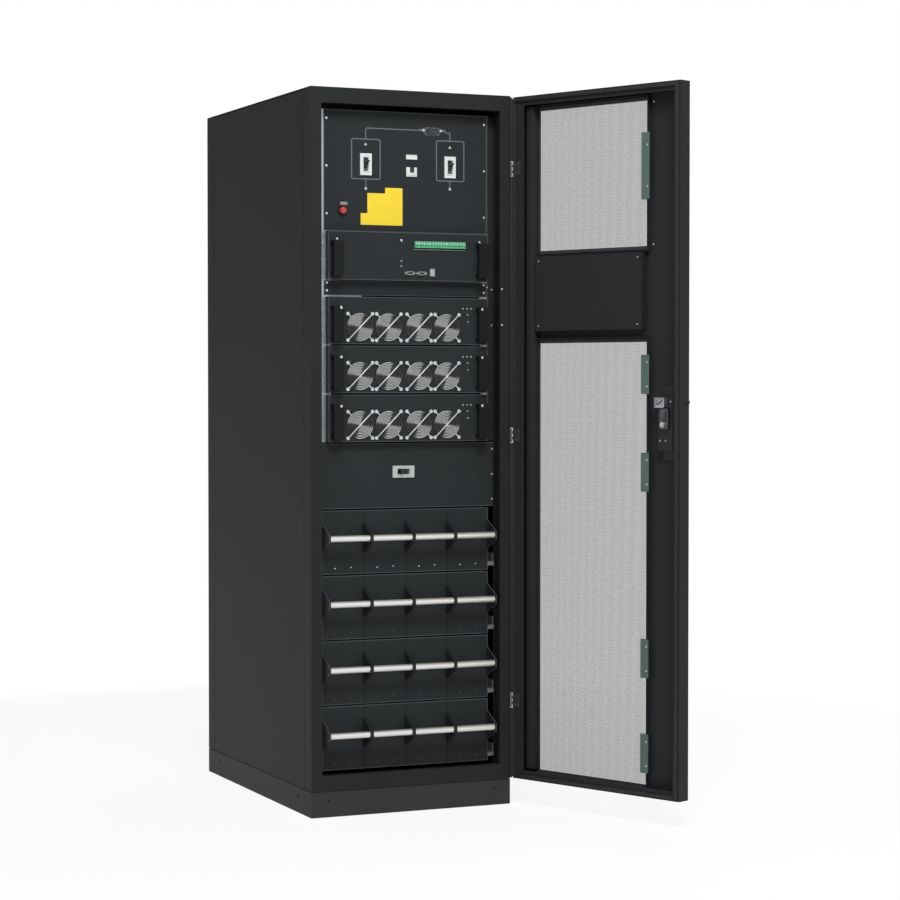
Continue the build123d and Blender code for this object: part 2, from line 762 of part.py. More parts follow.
# The spindle with its cam inside and its lever outside
with BuildPart() as latch_handle:
    lever_back = door_outer - handle_plate_size[1] - lever_gap
    lever_front = lever_back - lever_size[1]
    cam_back = door_skin_inner + lock_size[1] + touch_gap
    bar_along("Y", (lock_x, (lever_back + cam_back) / 2, lock_height), spindle_diameter / 2,
              cam_back - lever_back)
    bar_along("Y", (lock_x, (lever_front + lever_back) / 2, lock_height), lever_hub / 2, lever_size[1])
    w = lever_size[0]
    block((lock_x - w / 2, lock_x + w / 2), (lever_front, lever_back),
          (lock_height - lever_size[2], lock_height))
    fillet(latch_handle.faces().sort_by(Axis.Z)[0].edges().filter_by(Axis.Y), radius=lever_corner)
    bar_along("Y", (lock_x, cam_back + cam_size[1] / 2, lock_height), cam_size[0] / 2, cam_size[1])
    block((lock_x - cam_size[0] / 2, lock_x + cam_size[0] / 2), (cam_back, cam_back + cam_size[1]),
          (lock_height, lock_height + cam_size[2]))
save(swung(latch_handle), "latch_handle")

# Hinges: the cabinet half holds the pin, the door half turns on it
knuckle = hinge_height / knuckle_count


def add_knuckle(z, order):
    """One knuckle of a hinge, solid until it is bored for the pin."""
    low = z - hinge_height / 2 + order * knuckle + knuckle_clearance
    high = z - hinge_height / 2 + (order + 1) * knuckle - knuckle_clearance
    centre = (hinge_x, hinge_y, (low + high) / 2)
    bar_along("Z", centre, knuckle_radius, high - low)
    return low, high


with BuildPart() as cabinet_hinges:
    for z in hinge_heights:
        bar_along("Z", (hinge_x, hinge_y, z), pin_radius, hinge_height)
        block((right, right + sheet), (front, front + hinge_leaf),
              (z - hinge_height / 2, z + hinge_height / 2))
        for order in range(0, knuckle_count, 2):
            low, high = add_knuckle(z, order)
            block((right, right + sheet), (hinge_y, front), (low, high))
save(cabinet_hinges.part, "cabinet_hinges")

with BuildPart() as door_hinges:
    for z in hinge_heights:
        block((door_hinge_edge - hinge_leaf, door_hinge_edge), (door_inner, door_inner + sheet),
              (z - hinge_height / 2, z + hinge_height / 2))
        for order in range(1, knuckle_count, 2):
            low, high = add_knuckle(z, order)
            block((door_hinge_edge, hinge_x), (door_inner, door_inner + sheet), (low, high))
        bar_along("Z", (hinge_x, hinge_y, z), pin_radius + pin_clearance, hinge_height, Mode.SUBTRACT)
save(swung(door_hinges), "door_hinges")
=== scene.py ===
import json
import math
from contextlib import contextmanager

import bmesh
import bpy
from mathutils import Matrix, Vector


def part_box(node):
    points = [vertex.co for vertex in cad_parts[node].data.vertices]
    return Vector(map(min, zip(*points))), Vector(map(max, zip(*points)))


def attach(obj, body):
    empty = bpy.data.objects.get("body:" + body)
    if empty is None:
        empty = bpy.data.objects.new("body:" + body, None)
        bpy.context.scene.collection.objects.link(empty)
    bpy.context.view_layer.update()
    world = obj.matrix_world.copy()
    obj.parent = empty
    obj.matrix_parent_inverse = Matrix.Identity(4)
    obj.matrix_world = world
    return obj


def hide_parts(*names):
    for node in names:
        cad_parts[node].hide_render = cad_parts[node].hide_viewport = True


# Looks of a modular power cabinet. Sizes are in metres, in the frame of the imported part:
# X from left to right seen from the front, Y from front to back, Z up.
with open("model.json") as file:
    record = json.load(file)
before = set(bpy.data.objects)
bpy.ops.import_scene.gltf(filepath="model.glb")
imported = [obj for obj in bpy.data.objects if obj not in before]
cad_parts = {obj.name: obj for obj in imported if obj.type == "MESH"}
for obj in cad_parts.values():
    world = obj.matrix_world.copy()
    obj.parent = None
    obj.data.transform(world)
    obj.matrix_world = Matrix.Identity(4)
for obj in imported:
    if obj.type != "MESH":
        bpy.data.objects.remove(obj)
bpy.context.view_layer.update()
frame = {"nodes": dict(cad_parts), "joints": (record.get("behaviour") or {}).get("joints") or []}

mm = 0.001
front_facing = (math.radians(90), 0, 0)
door_joint = next(joint for joint in frame["joints"] if joint["name"] == "door_swing")
hinge_line = Vector(door_joint["pos_m"])
door_opening = math.radians(-door_joint["range_deg"][0])
swing_open = (
    Matrix.Translation(hinge_line)
    @ Matrix.Rotation(door_opening, 4, "Z")
    @ Matrix.Translation(-hinge_line)
)


# Shader maths
class Wire:
    """A socket of a finish, so that shader maths reads as an expression."""

    def __init__(self, finish, socket):
        self.finish = finish
        self.socket = socket

    def maths(self, operation, first, second=0.0):
        return self.finish.node("ShaderNodeMath", {"operation": operation}, {0: first, 1: second})

    def __add__(self, other):
        return self.maths("ADD", self, other)

    def __radd__(self, other):
        return self.maths("ADD", other, self)

    def __sub__(self, other):
        return self.maths("SUBTRACT", self, other)

    def __rsub__(self, other):
        return self.maths("SUBTRACT", other, self)

    def __mul__(self, other):
        return self.maths("MULTIPLY", self, other)

    def __lt__(self, other):
        return self.maths("LESS_THAN", self, other)

    def __gt__(self, other):
        return self.maths("GREATER_THAN", self, other)

    def most(self, other):
        return self.maths("MAXIMUM", self, other)


class Finish:
    """A procedural material in the object's own coordinates."""

    def __init__(self, name, colour, roughness, metallic=0.0, gloss=0.5):
        self.material = bpy.data.materials.new(name)
        self.material.use_nodes = True
        self.tree = self.material.node_tree
        self.shader = self.tree.nodes["Principled BSDF"]
        self.set("Base Color", (*colour, 1))
        self.set("Roughness", roughness)
        self.set("Metallic", metallic)
        self.set("Specular IOR Level", gloss)
        self.place = self.node("ShaderNodeTexCoord", {}, {}, "Object")

    def node(self, kind, settings, inputs, output=0):
        """Adds a node: its settings first, then the values or links of its sockets."""
        made = self.tree.nodes.new(kind)
        for name, value in settings.items():
            setattr(made, name, value)
        for name, value in inputs.items():
            if isinstance(value, Wire):
                self.tree.links.new(value.socket, made.inputs[name])
            else:
                made.inputs[name].default_value = value
        return Wire(self, made.outputs[output])

    def set(self, socket, value):
        if isinstance(value, Wire):
            self.tree.links.new(value.socket, self.shader.inputs[socket])
        else:
            self.shader.inputs[socket].default_value = value

    def stretched(self, scale):
        return self.node("ShaderNodeMapping", {}, {"Vector": self.place, "Scale": scale})

    def noise(self, scale, detail=2.0, where=None):
        inputs = {"Vector": where or self.place, "Scale": scale, "Detail": detail}
        return self.node("ShaderNodeTexNoise", {}, inputs)

    def cells(self, scale):
        return self.node("ShaderNodeTexVoronoi", {}, {"Vector": self.place, "Scale": scale}, "Color")

    def ramp(self, factor, low, high):
        inputs = {"Value": factor, "From Min": low, "From Max": high}
        return self.node("ShaderNodeMapRange", {"clamp": True}, inputs)

    def mix(self, factor, first, second):
        """Mixes two colours."""
        sides = {
            6: first if isinstance(first, Wire) else (*first, 1),
            7: second if isinstance(second, Wire) else (*second, 1),
        }
        return self.node("ShaderNodeMix", {"data_type": "RGBA"}, {0: factor, **sides}, 2)

    def axis(self, name):
        return self.node("ShaderNodeSeparateXYZ", {}, {0: self.place}, name)

    def relief(self, height, depth):
        """Raises the surface by a height map, in metres."""
        inputs = {"Height": height, "Distance": depth}
        self.set("Normal", self.node("ShaderNodeBump", {}, inputs, "Normal"))


def tint(colour, factor):
    return tuple(channel * factor for channel in colour)


def shade(red, green, blue):
    """A colour written as 0 to 255 on screen, as the shader wants it."""
    return tuple(
        value / 255 / 12.92
        if value / 255 < 0.04045
        else ((value / 255 + 0.055) / 1.055) ** 2.4
        for value in (red, green, blue)
    )


def powder_coat(name, colour, roughness=0.55, edges=None, handles=None):
    """Textured powder paint, a little dusty low down, with a painted highlight along its edges and
    darker handles.
    """
    coat = Finish(name, colour, roughness, gloss=0.12)
    grain = coat.noise(900, 3)
    cloud = coat.noise(5, 5)
    dust = coat.ramp(coat.axis("Z"), 0.12, 0.0) * coat.ramp(coat.noise(60, 5), 0.45, 0.75)
    toned = coat.mix(coat.ramp(cloud, 0.3, 0.7), tint(colour, 0.96), tint(colour, 1.04))
    toned = coat.mix(dust * 0.04, toned, shade(120, 118, 112))
    # Painted highlight: a lighter band along the border of the face, where its edges would catch the
    # light
    if edges:
        toned = coat.mix(rim(coat, *edges) * 0.3, toned, shade(130, 138, 142))
    if handles:
        toned = coat.mix(coat.axis("Y") < handles, toned, shade(22, 23, 25))
    coat.set("Base Color", toned)
    coat.set("Roughness", roughness + (grain - 0.5) * 0.12 + dust * 0.1)
    coat.relief(grain, 0.00025)
    return coat.material


def rim(finish, low, high, width):
    """1 along the border of a rectangle in X and Z, 0 inside it."""
    borders = []
    for name, index in (("X", 0), ("Z", 2)):
        along = finish.axis(name)
        borders.append((along < low[index] + width).most(along > high[index] - width))
    return borders[0].most(borders[1])


def zinc_plate(name, colour, roughness=0.38, coated_from=None):
    """Galvanised sheet: a faint spangle in tone and gloss, dark and not metallic past an X."""
    zinc = Finish(name, colour, roughness, 0.6)
    spangle = zinc.cells(170)
    grey = zinc.node("ShaderNodeRGBToBW", {}, {0: spangle})
    streak = zinc.noise(26, 3, zinc.stretched((1, 6, 1)))
    mixed = grey * 0.6 + streak * 0.4
    toned = zinc.mix(mixed, tint(colour, 0.82), tint(colour, 1.15))
    if coated_from:
        # Past this X the sheet is dark and not metallic
        coated = zinc.axis("X") > coated_from
        toned = zinc.mix(coated, toned, shade(34, 36, 39))
        zinc.set("Metallic", 0.6 - coated * 0.6)
    zinc.set("Base Color", toned)
    zinc.set("Roughness", roughness + (mixed - 0.5) * 0.2)
    zinc.relief(mixed, 0.00004)
    return zinc.material


def drawn_metal(name, colour, roughness, grain, metallic=0.9):
    """Metal with fine lines along one direction."""
    metal = Finish(name, colour, roughness, metallic)
    lines = metal.noise(60, 3, metal.stretched(grain))
    patch = metal.noise(9, 2)
    metal.set("Base Color", metal.mix(lines, tint(colour, 0.88), tint(colour, 1.06)))
    metal.set("Roughness", roughness + (lines - 0.5) * 0.16 + (patch - 0.5) * 0.06)
    metal.relief(lines, 0.00003)
    return metal.material


def worn_hinge(name, coat, steel):
    """Black coated leaves, with bare steel on the knuckles round the hinge line."""
    metal = Finish(name, coat, 0.45)
    across = metal.axis("X") - hinge_line.x
    deep = metal.axis("Y") - hinge_line.y
    coated = (across * across + deep * deep) > (4.2 * mm) ** 2
    patch = metal.noise(120, 3)
    worn = metal.mix(patch, tint(steel, 0.7), tint(steel, 1.1))
    metal.set("Base Color", metal.mix(coated, worn, coat))
    metal.set("Metallic", 0.8 - coated * 0.8)
    metal.set("Roughness", 0.42 + (patch - 0.5) * 0.2)
    return metal.material


def guard_metal(name, dull, bright, roughness):
    """Plated wire with a painted highlight: bright and dull in turns round each ring, by an attribute
    of the rings.
    """
    metal = Finish(name, bright, roughness, 1.0)
    # Painted highlight: the attribute is bright where a lamp would glint on the rings and dull between
    painted_highlight = metal.node("ShaderNodeAttribute", {"attribute_name": "painted_highlight"}, {}, "Fac")
    patch = metal.noise(40, 3)
    tone = metal.mix(metal.ramp(painted_highlight, 0.3, 0.58), dull, bright)
    metal.set("Base Color", metal.mix(patch * 0.2, tone, dull))
    metal.set("Roughness", roughness + (patch - 0.5) * 0.1)
    return metal.material


def moulded(name, colour, roughness=0.42, speckle=700):
    """Moulded plastic with a fine spark-eroded texture."""
    plastic = Finish(name, colour, roughness)
    texture = plastic.noise(speckle, 2)
    patch = plastic.noise(18, 3)
    plastic.set("Base Color", plastic.mix(patch, tint(colour, 0.92), tint(colour, 1.05)))
    plastic.set("Roughness", roughness + (texture - 0.5) * 0.14)
    plastic.relief(texture, 0.0001)
    return plastic.material


def glass_screen(name):
    """A dark screen that is off, faintly uneven in tone and gloss."""
    glass = Finish(name, shade(18, 22, 28), 0.09)
    across = glass.noise(6, 2)
    glass.set("Base Color", glass.mix(across, shade(14, 17, 22), shade(26, 31, 38)))
    glass.set("Roughness", 0.07 + glass.noise(40, 3) * 0.06)
    return glass.material


def lamp_lens(name, colour, level):
    """A small tinted lens with a faint glow."""
    lens = Finish(name, colour, 0.25)
    ripple = lens.noise(400, 1)
    lens.set("Base Color", lens.mix(ripple, tint(colour, 0.85), colour))
    lens.set("Emission Color", lens.mix(ripple, tint(colour, 0.8), colour))
    lens.set("Emission Strength", level)
    return lens.material


panel_black = shade(38, 41, 43)
zinc_grey = shade(160, 167, 170)
finishes = {
    material.name.split(".")[0]: material
    for material in (
        powder_coat("black_coat", shade(34, 35, 36)),
        powder_coat("door_coat", shade(38, 40, 42)),
        powder_coat("plinth_coat", shade(50, 51, 52)),
        moulded("matt_black", shade(34, 36, 38), 0.6),
        zinc_plate("zinc", zinc_grey),
        zinc_plate("rail_zinc", zinc_grey, coated_from=246 * mm),
        zinc_plate("tray_coat", shade(160, 180, 198), 0.45),
        worn_hinge("worn_hinge", shade(44, 45, 46), shade(118, 120, 122)),
        drawn_metal("hinge_steel", shade(180, 184, 188), 0.32, (1, 1, 8)),
        drawn_metal("bar_metal", shade(222, 221, 217), 0.34, (0.4, 14, 14), 0.75),
        drawn_metal("lever_metal", shade(96, 98, 104), 0.35, (8, 8, 1)),
        drawn_metal("strut_metal", shade(206, 209, 210), 0.4, (9, 9, 9), 0.3),
        drawn_metal("dark_screw", shade(74, 77, 80), 0.5, (40, 40, 40), 0.5),
        guard_metal("guard_metal", shade(92, 95, 97), shade(242, 244, 245), 0.33),
        drawn_metal("screw_steel", shade(205, 208, 210), 0.34, (6, 6, 6)),
        powder_coat("mesh_sheet", shade(58, 60, 62)),
        powder_coat("clip_sheet", shade(84, 102, 96), 0.42),
        moulded("white_plastic", shade(206, 210, 208)),
        moulded("dull_white", shade(168, 178, 172)),
        moulded("black_plastic", shade(36, 38, 40)),
        moulded("lock_black", shade(22, 23, 25), 0.6),
        moulded("fan_plastic", shade(24, 25, 27), 0.5),
        moulded("red_plastic", shade(172, 44, 46), 0.35),
        moulded("green_plastic", shade(88, 178, 132), 0.5),
        moulded("yellow_plate", shade(228, 198, 34), 0.5),
        moulded("line_print", shade(88, 95, 99), 0.55),
        moulded("pale_print", shade(168, 174, 176), 0.5),
        moulded("grey_plastic", shade(120, 124, 126), 0.45),
        glass_screen("screen_glass"),
        lamp_lens("pale_lens", shade(150, 156, 152), 0.05),
        moulded("seal_rubber", shade(28, 29, 30), 0.75),
    )
}


# Modelling
def only(piece):
    """Selects this piece alone and makes it active."""
    bpy.ops.object.select_all(action="DESELECT")
    piece.select_set(True)
    bpy.context.view_layer.objects.active = piece
    return piece


def settle(name):
    """Names a new primitive and puts its place, turn and scale in its mesh."""
    piece = bpy.context.object
    piece.name = name
    bpy.ops.object.transform_apply(location=True, rotation=True, scale=True)
    return piece


def span(middle, half):
    """The two values at one distance from a middle."""
    return middle - half, middle + half


def add_block(name, x, y, z):
    """A block between two values along each axis, to be shaped further."""
    middle = [(low + high) / 2 for low, high in (x, y, z)]
    size = [high - low for low, high in (x, y, z)]
    bpy.ops.mesh.primitive_cube_add(size=1, location=middle, scale=size)
    return settle(name)


def block_from(name, origin, *spans):
    """A block between two values along each axis, in millimetres from a point."""
    ends = [(start + low * mm, start + high * mm) for start, (low, high) in zip(origin, spans)]
    return add_block(name, *ends)


def add_round(name, centre, radius, depth, sides=24, turn=front_facing):
    """A round bar, facing the front unless it is turned, to be shaped further."""
    bpy.ops.mesh.primitive_cylinder_add(
        vertices=sides, radius=radius, depth=depth, location=centre, rotation=turn
    )
    return settle(name)


def add_ring(name, centre, radius, wire, sides=40):
    """A ring of wire that faces the front."""
    bpy.ops.mesh.primitive_torus_add(
        major_radius=radius,
        minor_radius=wire,
        major_segments=sides,
        minor_segments=6,
        location=centre,
        rotation=front_facing,
    )
    return settle(name)


@contextmanager
def shaping(piece):
    """Edit mode on one piece."""
    only(piece)
    bpy.ops.object.mode_set(mode="EDIT")
    yield piece
    bpy.ops.object.mode_set(mode="OBJECT")


def pick(piece, kind, wanted):
    """Selects what is wanted, of the kind FACE or EDGE."""
    bpy.ops.mesh.select_mode(type=kind)
    bpy.ops.mesh.select_all(action="DESELECT")
    mesh = bmesh.from_edit_mesh(piece.data)
    for item in mesh.faces if kind == "FACE" else mesh.edges:
        if wanted(item):
            item.select_set(True)
    bmesh.update_edit_mesh(piece.data)


def pick_faces(piece, wanted):
    """Selects faces by their centre and normal."""
    pick(piece, "FACE", lambda face: wanted(face.calc_center_median(), face.normal))


def pick_edges(piece, wanted):
    """Selects edges by their two ends."""
    pick(piece, "EDGE", lambda edge: wanted(edge.verts[0].co, edge.verts[1].co))


def to_front(centre, normal):
    return normal.y < -0.9


def to_back(centre, normal):
    return normal.y > 0.9


def in_depth(a, b):
    """True for an edge that runs from front to back."""
    return abs(a.y - b.y) > 1 * mm


def ahead_of(y):
    """A test for edges in front of a plane."""
    return lambda a, b: max(a.y, b.y) < y


def push(x=0.0, y=0.0, z=0.0):
    """Extrudes what is selected and moves it."""
    bpy.ops.mesh.extrude_region_move(TRANSFORM_OT_translate={"value": (x, y, z)})


def dish(piece, border, wanted=to_front, **move):
    """Sinks or raises the middle of a face, within a border."""
    with shaping(piece):
        pick_faces(piece, wanted)
        bpy.ops.mesh.inset(thickness=border)
        push(**move)


def crown(piece, border, move, wanted=to_front):
    """Slopes the border of a face, as its middle moves along Y."""
    with shaping(piece):
        pick_faces(piece, wanted)
        bpy.ops.mesh.inset(thickness=border)
        bpy.ops.transform.translate(value=(0, move, 0))


def round_edges(piece, wanted, radius, segments):
    with shaping(piece):
        pick_edges(piece, wanted)
        bpy.ops.mesh.bevel(offset=radius, segments=segments)


def cut_across(point, normal):
    """Cuts the piece in edit mode along a plane and keeps both sides."""
    bpy.ops.mesh.select_all(action="SELECT")
    bpy.ops.mesh.bisect(plane_co=point, plane_no=normal)


def apply_modifier(piece, kind, **settings):
    only(piece)
    modifier = piece.modifiers.new(kind.lower(), kind)
    for name, value in settings.items():
        setattr(modifier, name, value)
    bpy.ops.object.modifier_apply(modifier=modifier.name)
    return piece


def smooth(piece, angle=35):
    """Shades the piece smooth where its faces meet at less than this angle."""
    only(piece)
    bpy.ops.object.shade_smooth_by_angle(angle=math.radians(angle))
    return piece


def soften(piece, width, segments=2):
    """Rounds the sharp edges and shades the piece smooth between them."""
    limit = {"limit_method": "ANGLE", "angle_limit": math.radians(40)}
    apply_modifier(piece, "BEVEL", width=width, segments=segments, **limit)
    return smooth(piece)


def make_ring(name, x, y, z, width):
    """A rectangular ring of flat bar."""
    ring = add_block(name, x, y, z)
    with shaping(ring):
        pick_faces(ring, lambda centre, normal: abs(normal.y) > 0.9)
        bpy.ops.mesh.inset(thickness=width)
        bpy.ops.mesh.delete(type="FACE")
        bpy.ops.mesh.select_mode(type="EDGE")
        bpy.ops.mesh.select_non_manifold()
        bpy.ops.mesh.bridge_edge_loops()
        bpy.ops.mesh.select_all(action="SELECT")
        bpy.ops.mesh.normals_make_consistent(inside=False)
    return ring


def twin(piece):
    """A copy of a piece with its own mesh."""
    copy = piece.copy()
    copy.data = piece.data.copy()
    bpy.context.scene.collection.objects.link(copy)
    return copy


def copies(piece, name, places):
    """The piece at each place (a point or a matrix), as one piece. The pattern goes."""
    made = []
    for place in places:
        copy = twin(piece)
        copy.data.transform(place if isinstance(place, Matrix) else Matrix.Translation(place))
        made.append(copy)
    bpy.data.objects.remove(piece)
    return joined(name, made)


def joined(name, parts):
    bpy.ops.object.select_all(action="DESELECT")
    for part in parts:
        part.select_set(True)
    bpy.context.view_layer.objects.active = parts[0]
    if len(parts) > 1:
        bpy.ops.object.join()
    parts[0].name = name
    return parts[0]


def paint(piece, material):
    piece.data.materials.clear()
    piece.data.materials.append(material)


def finished(piece, finish, body="root"):
    """Paints a piece and lets it ride on its body. What the door carries is modelled shut."""
    if body in ("door", "latch"):
        piece.data.transform(swing_open)
    paint(piece, finishes[finish])
    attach(piece, body)
    return piece


def shut_box(node):
    """The box of a piece of the door with the door swung shut."""
    piece = frame["nodes"][node]
    shut = swing_open.inverted() @ piece.matrix_world
    spots = [shut @ vertex.co for vertex in piece.data.vertices]
    low = Vector([min(spot[axis] for spot in spots) for axis in range(3)])
    high = Vector([max(spot[axis] for spot in spots) for axis in range(3)])
    return low, high


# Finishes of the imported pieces, by the ends of their names
handle_reach = 24 * mm
module_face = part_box("bypass_module")[0].y + handle_reach
node_finishes = (
    ("plinth", "plinth_coat"),
    ("equipment_rails", "rail_zinc"),
    (("tray_shelves", "module_runners"), "zinc"),
    ("battery_breaker", "dull_white"),
    ("breakers", "white_plastic"),
    ("instruction_plate", "yellow_plate"),
    ("terminal_strip", "green_plastic"),
    ("_hinges", "worn_hinge"),
    (("_toggle", "display", "latch_handle"), "black_plastic"),
    ("emergency_button", "red_plastic"),
    (("door_frame", "window_frames", "display_cover"), "door_coat"),
    ("door_mesh", "mesh_sheet"),
    ("mesh_clips", "clip_sheet"),
    ("door_lock", "lock_black"),
    ("_fans", "fan_plastic"),
    ("_box", "tray_coat"),
    ("_bars", "bar_metal"),
    (("side_panel", "rear_panel", "roof_panel"), "black_coat"),
)
for node, piece in frame["nodes"].items():
    known = [finish for ends, finish in node_finishes if node.endswith(ends)]
    if not known and node.endswith(("_case", "_fronts", "_panel", "bypass_module")):
        # The lighter band along the borders of these faces is a painted edge highlight
        edges = (*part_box(node), 1.4 * mm)
        bows = module_face - 1 * mm if node.endswith(("_case", "_module")) else None
        paint(piece, powder_coat(node + "_coat", panel_black, edges=edges, handles=bows))
    else:
        paint(piece, finishes[known[0] if known else "black_coat"])


# Screws
def make_screw(radius, height):
    """A button-head screw with a socket, standing on Y = 0 and facing the front."""
    screw = add_round("screw", (0, -height / 2, 0), radius, height, sides=12)
    round_edges(screw, ahead_of(-height * 0.9), height * 0.55, 2)
    dish(screw, radius * 0.22, lambda centre, normal: normal.y < -0.99, y=height * 0.5)
    return smooth(screw)


def front_screws(name, y, spots, radius, body="root", height=2.2 * mm, finish="screw_steel"):
    """Screws that face the front on the plane y, at (x, z) spots in millimetres."""
    places = [Vector((x * mm, y, z * mm)) for x, z in spots]
    return finished(copies(make_screw(radius, height), name, places), finish, body)


def door_screws(name, y, spots, radius=3.2 * mm, height=2.0 * mm, finish="screw_steel"):
    """Screws on the inside of the door, which is modelled shut, at (x, z) spots."""
    about_face = Matrix.Rotation(math.pi, 4, "Z")
    places = [Matrix.Translation((x, y, z)) @ about_face for x, z in spots]
    return finished(copies(make_screw(radius, height), name, places), finish, "door")


def pairs(x, heights):
    """Spots at one distance to the left and to the right of the middle."""
    return [(side * x, z) for side in (-1, 1) for z in heights]


switch_low, switch_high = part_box("switch_panel")
blank_low, blank_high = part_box("blank_panel")
bypass_low, bypass_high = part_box("bypass_module")
battery_low, battery_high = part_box("battery_panel")
switch_face = -407 * mm
switch_top, switch_bottom = switch_high.z / mm, switch_low.z / mm
battery_top, battery_bottom = battery_high.z / mm, battery_low.z / mm
switch_levels = (switch_top - 25, (switch_top + switch_bottom) / 2 + 11, switch_bottom + 47)
battery_levels = (battery_top - 19, (battery_bottom + battery_top) / 2, battery_bottom + 19)
blank_levels = (blank_low.z / mm + 12, blank_high.z / mm - 6)
rail_levels = (1577, 1531, 1463, 1395, 1335, 1260, 1200, 1125, 1065)
ear_levels = (1457, 1356)
rail_y, post_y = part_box("equipment_rails")[0].y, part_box("front_posts")[0].y
bypass_spots = [(x, bypass_high.z / mm - 22) for x in (-215, -24, 214)]
ear_spots = [(267, z) for z in ear_levels]
post_spots = [(274, z) for z in ear_levels]
for name, y, spots, radius, height in (
    ("switch_panel", switch_face, pairs(237.5, switch_levels), 3.6, 2.2),
    ("blank_panel", blank_low.y, pairs(237, blank_levels), 3.6, 2.2),
    ("bypass", module_face, bypass_spots, 3.6, 2.2),
    ("battery_panel", battery_low.y, pairs(263, battery_levels), 3.6, 2.2),
    ("rail", rail_y, pairs(247.6, rail_levels), 2.4, 1.6),
    ("ear", battery_high.y - 2 * mm, ear_spots, 3.4, 2),
    ("post", post_y, post_spots, 3, 1.2),
):
    front_screws(name + "_screws", y, spots, radius * mm, height=height * mm)

bush_spot = (205 * mm, battery_low.y - 0.5 * mm, 933 * mm)
bush = add_round("battery_panel_bush", bush_spot, 5 * mm, 1 * mm)
dish(bush, 1.2 * mm, y=0.8 * mm)
finished(soften(bush, 0.2 * mm, 1), "matt_black")

# Dark plugs set into the holes of the plinth covers: painted shade, standing in for the shade inside
# the open holes
plinth_low, plinth_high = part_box("plinth")
plug_height = 45 * mm
plug_front_x, plug_side_y = 250 * mm, 345 * mm
plug_sink = 2.5 * mm
hole_shade_plug = add_round("hole_shade_plug", (0, plug_sink, 0), 4.5 * mm, 2 * mm)
dish(hole_shade_plug, 0.8 * mm, y=1.5 * mm)
soften(hole_shade_plug, 0.2 * mm, 1)
plug_places = []
for side, corner, turn in ((-1, plinth_low, 0), (1, plinth_high, math.pi)):
    for other in (-1, 1):
        front_spot = Matrix.Translation((other * plug_front_x, corner.y, plug_height))
        side_spot = Matrix.Translation((corner.x, other * plug_side_y, plug_height))
        plug_places.append(front_spot @ Matrix.Rotation(turn, 4, "Z"))
        plug_places.append(side_spot @ Matrix.Rotation(side * math.pi / 2, 4, "Z"))
finished(copies(hole_shade_plug, "plinth_hole_shade_plugs", plug_places), "seal_rubber")


# Switch panel, in millimetres
def on_switch(name, x, z, front, back=0):
    """A block on the switch panel, between two heights over its face."""
    return block_from(name, (0, switch_face, 0), x, (-front, -back), z)


def flat_line(x, z):
    """A thin strip on the switch panel."""
    strip = on_switch("strip", x, z, print_rise)
    round_edges(strip, ahead_of(switch_face - print_rise * mm / 2), print_rise * mm / 2, 1)
    return strip


def rounded_outline(x, z, radius):
    """A rounded rectangle drawn as a line."""
    middle = (sum(x) / 2 * mm, switch_face, sum(z) / 2 * mm)
    bpy.ops.mesh.primitive_plane_add(size=1, location=middle, rotation=front_facing)
    outline = bpy.context.object
    outline.scale = ((x[1] - x[0]) * mm, (z[1] - z[0]) * mm, 1)
    settle("outline")
    with shaping(outline):
        bpy.ops.mesh.select_all(action="SELECT")
        bpy.ops.mesh.bevel(offset=radius * mm, segments=4, affect="VERTICES")
        bpy.ops.mesh.select_mode(type="FACE")
        bpy.ops.mesh.select_all(action="SELECT")
        bpy.ops.mesh.inset(thickness=line_width * mm)
        bpy.ops.mesh.delete(type="FACE")
    return apply_modifier(outline, "SOLIDIFY", thickness=print_rise * mm, offset=1)


print_rise, line_width = 0.5, 3.2
half_line = line_width / 2
input_x, bypass_x = -121.5, 132.5
mimic_level = switch_top - 48
mimic = [
    rounded_outline((-165, -77), (switch_bottom + 143, switch_bottom + 256), 6),
    rounded_outline((90, 177), (switch_bottom + 145, switch_bottom + 260), 6),
    rounded_outline((56, 101), (mimic_level - 13, mimic_level + 9), 5),
    flat_line(span(input_x, half_line), (switch_bottom + 256, mimic_level + half_line)),
    flat_line((input_x - half_line, 40), span(mimic_level, half_line)),
    flat_line((38, 52), (mimic_level - 2, mimic_level + 4)),
    flat_line((105, 119), (mimic_level - 2, mimic_level + 4)),
    flat_line((119, bypass_x + half_line), (mimic_level - 6, mimic_level - 6 + line_width)),
    flat_line(span(bypass_x, half_line), (switch_bottom + 260, mimic_level - 6)),
    flat_line(span(input_x, half_line), (switch_bottom + 120, switch_bottom + 143)),
    flat_line(span(bypass_x, half_line), (switch_bottom + 126, switch_bottom + 145)),
]
finished(joined("mimic_lines", mimic), "line_print")

# Arrow heads over the breakers and end dots under them
marks = []
for x in (input_x, bypass_x):
    tip = (x * mm, switch_face - print_rise * mm / 2, (switch_top - 93) * mm)
    arrow = add_round("arrow", tip, 5.5 * mm, print_rise * mm, sides=3)
    crown(arrow, 0.6 * mm, -0.1 * mm)
    marks.append(arrow)
for x, z in (
    (input_x, switch_bottom + 118),
    (bypass_x, switch_bottom + 124),
    (52, mimic_level + 1),
    (105, mimic_level + 1),
):
    dot = add_round("dot", (x * mm, switch_face - 0.4 * mm, z * mm), 4 * mm, 0.8 * mm)
    marks.append(soften(dot, 0.3 * mm))
finished(joined("mimic_marks", marks), "pale_print")

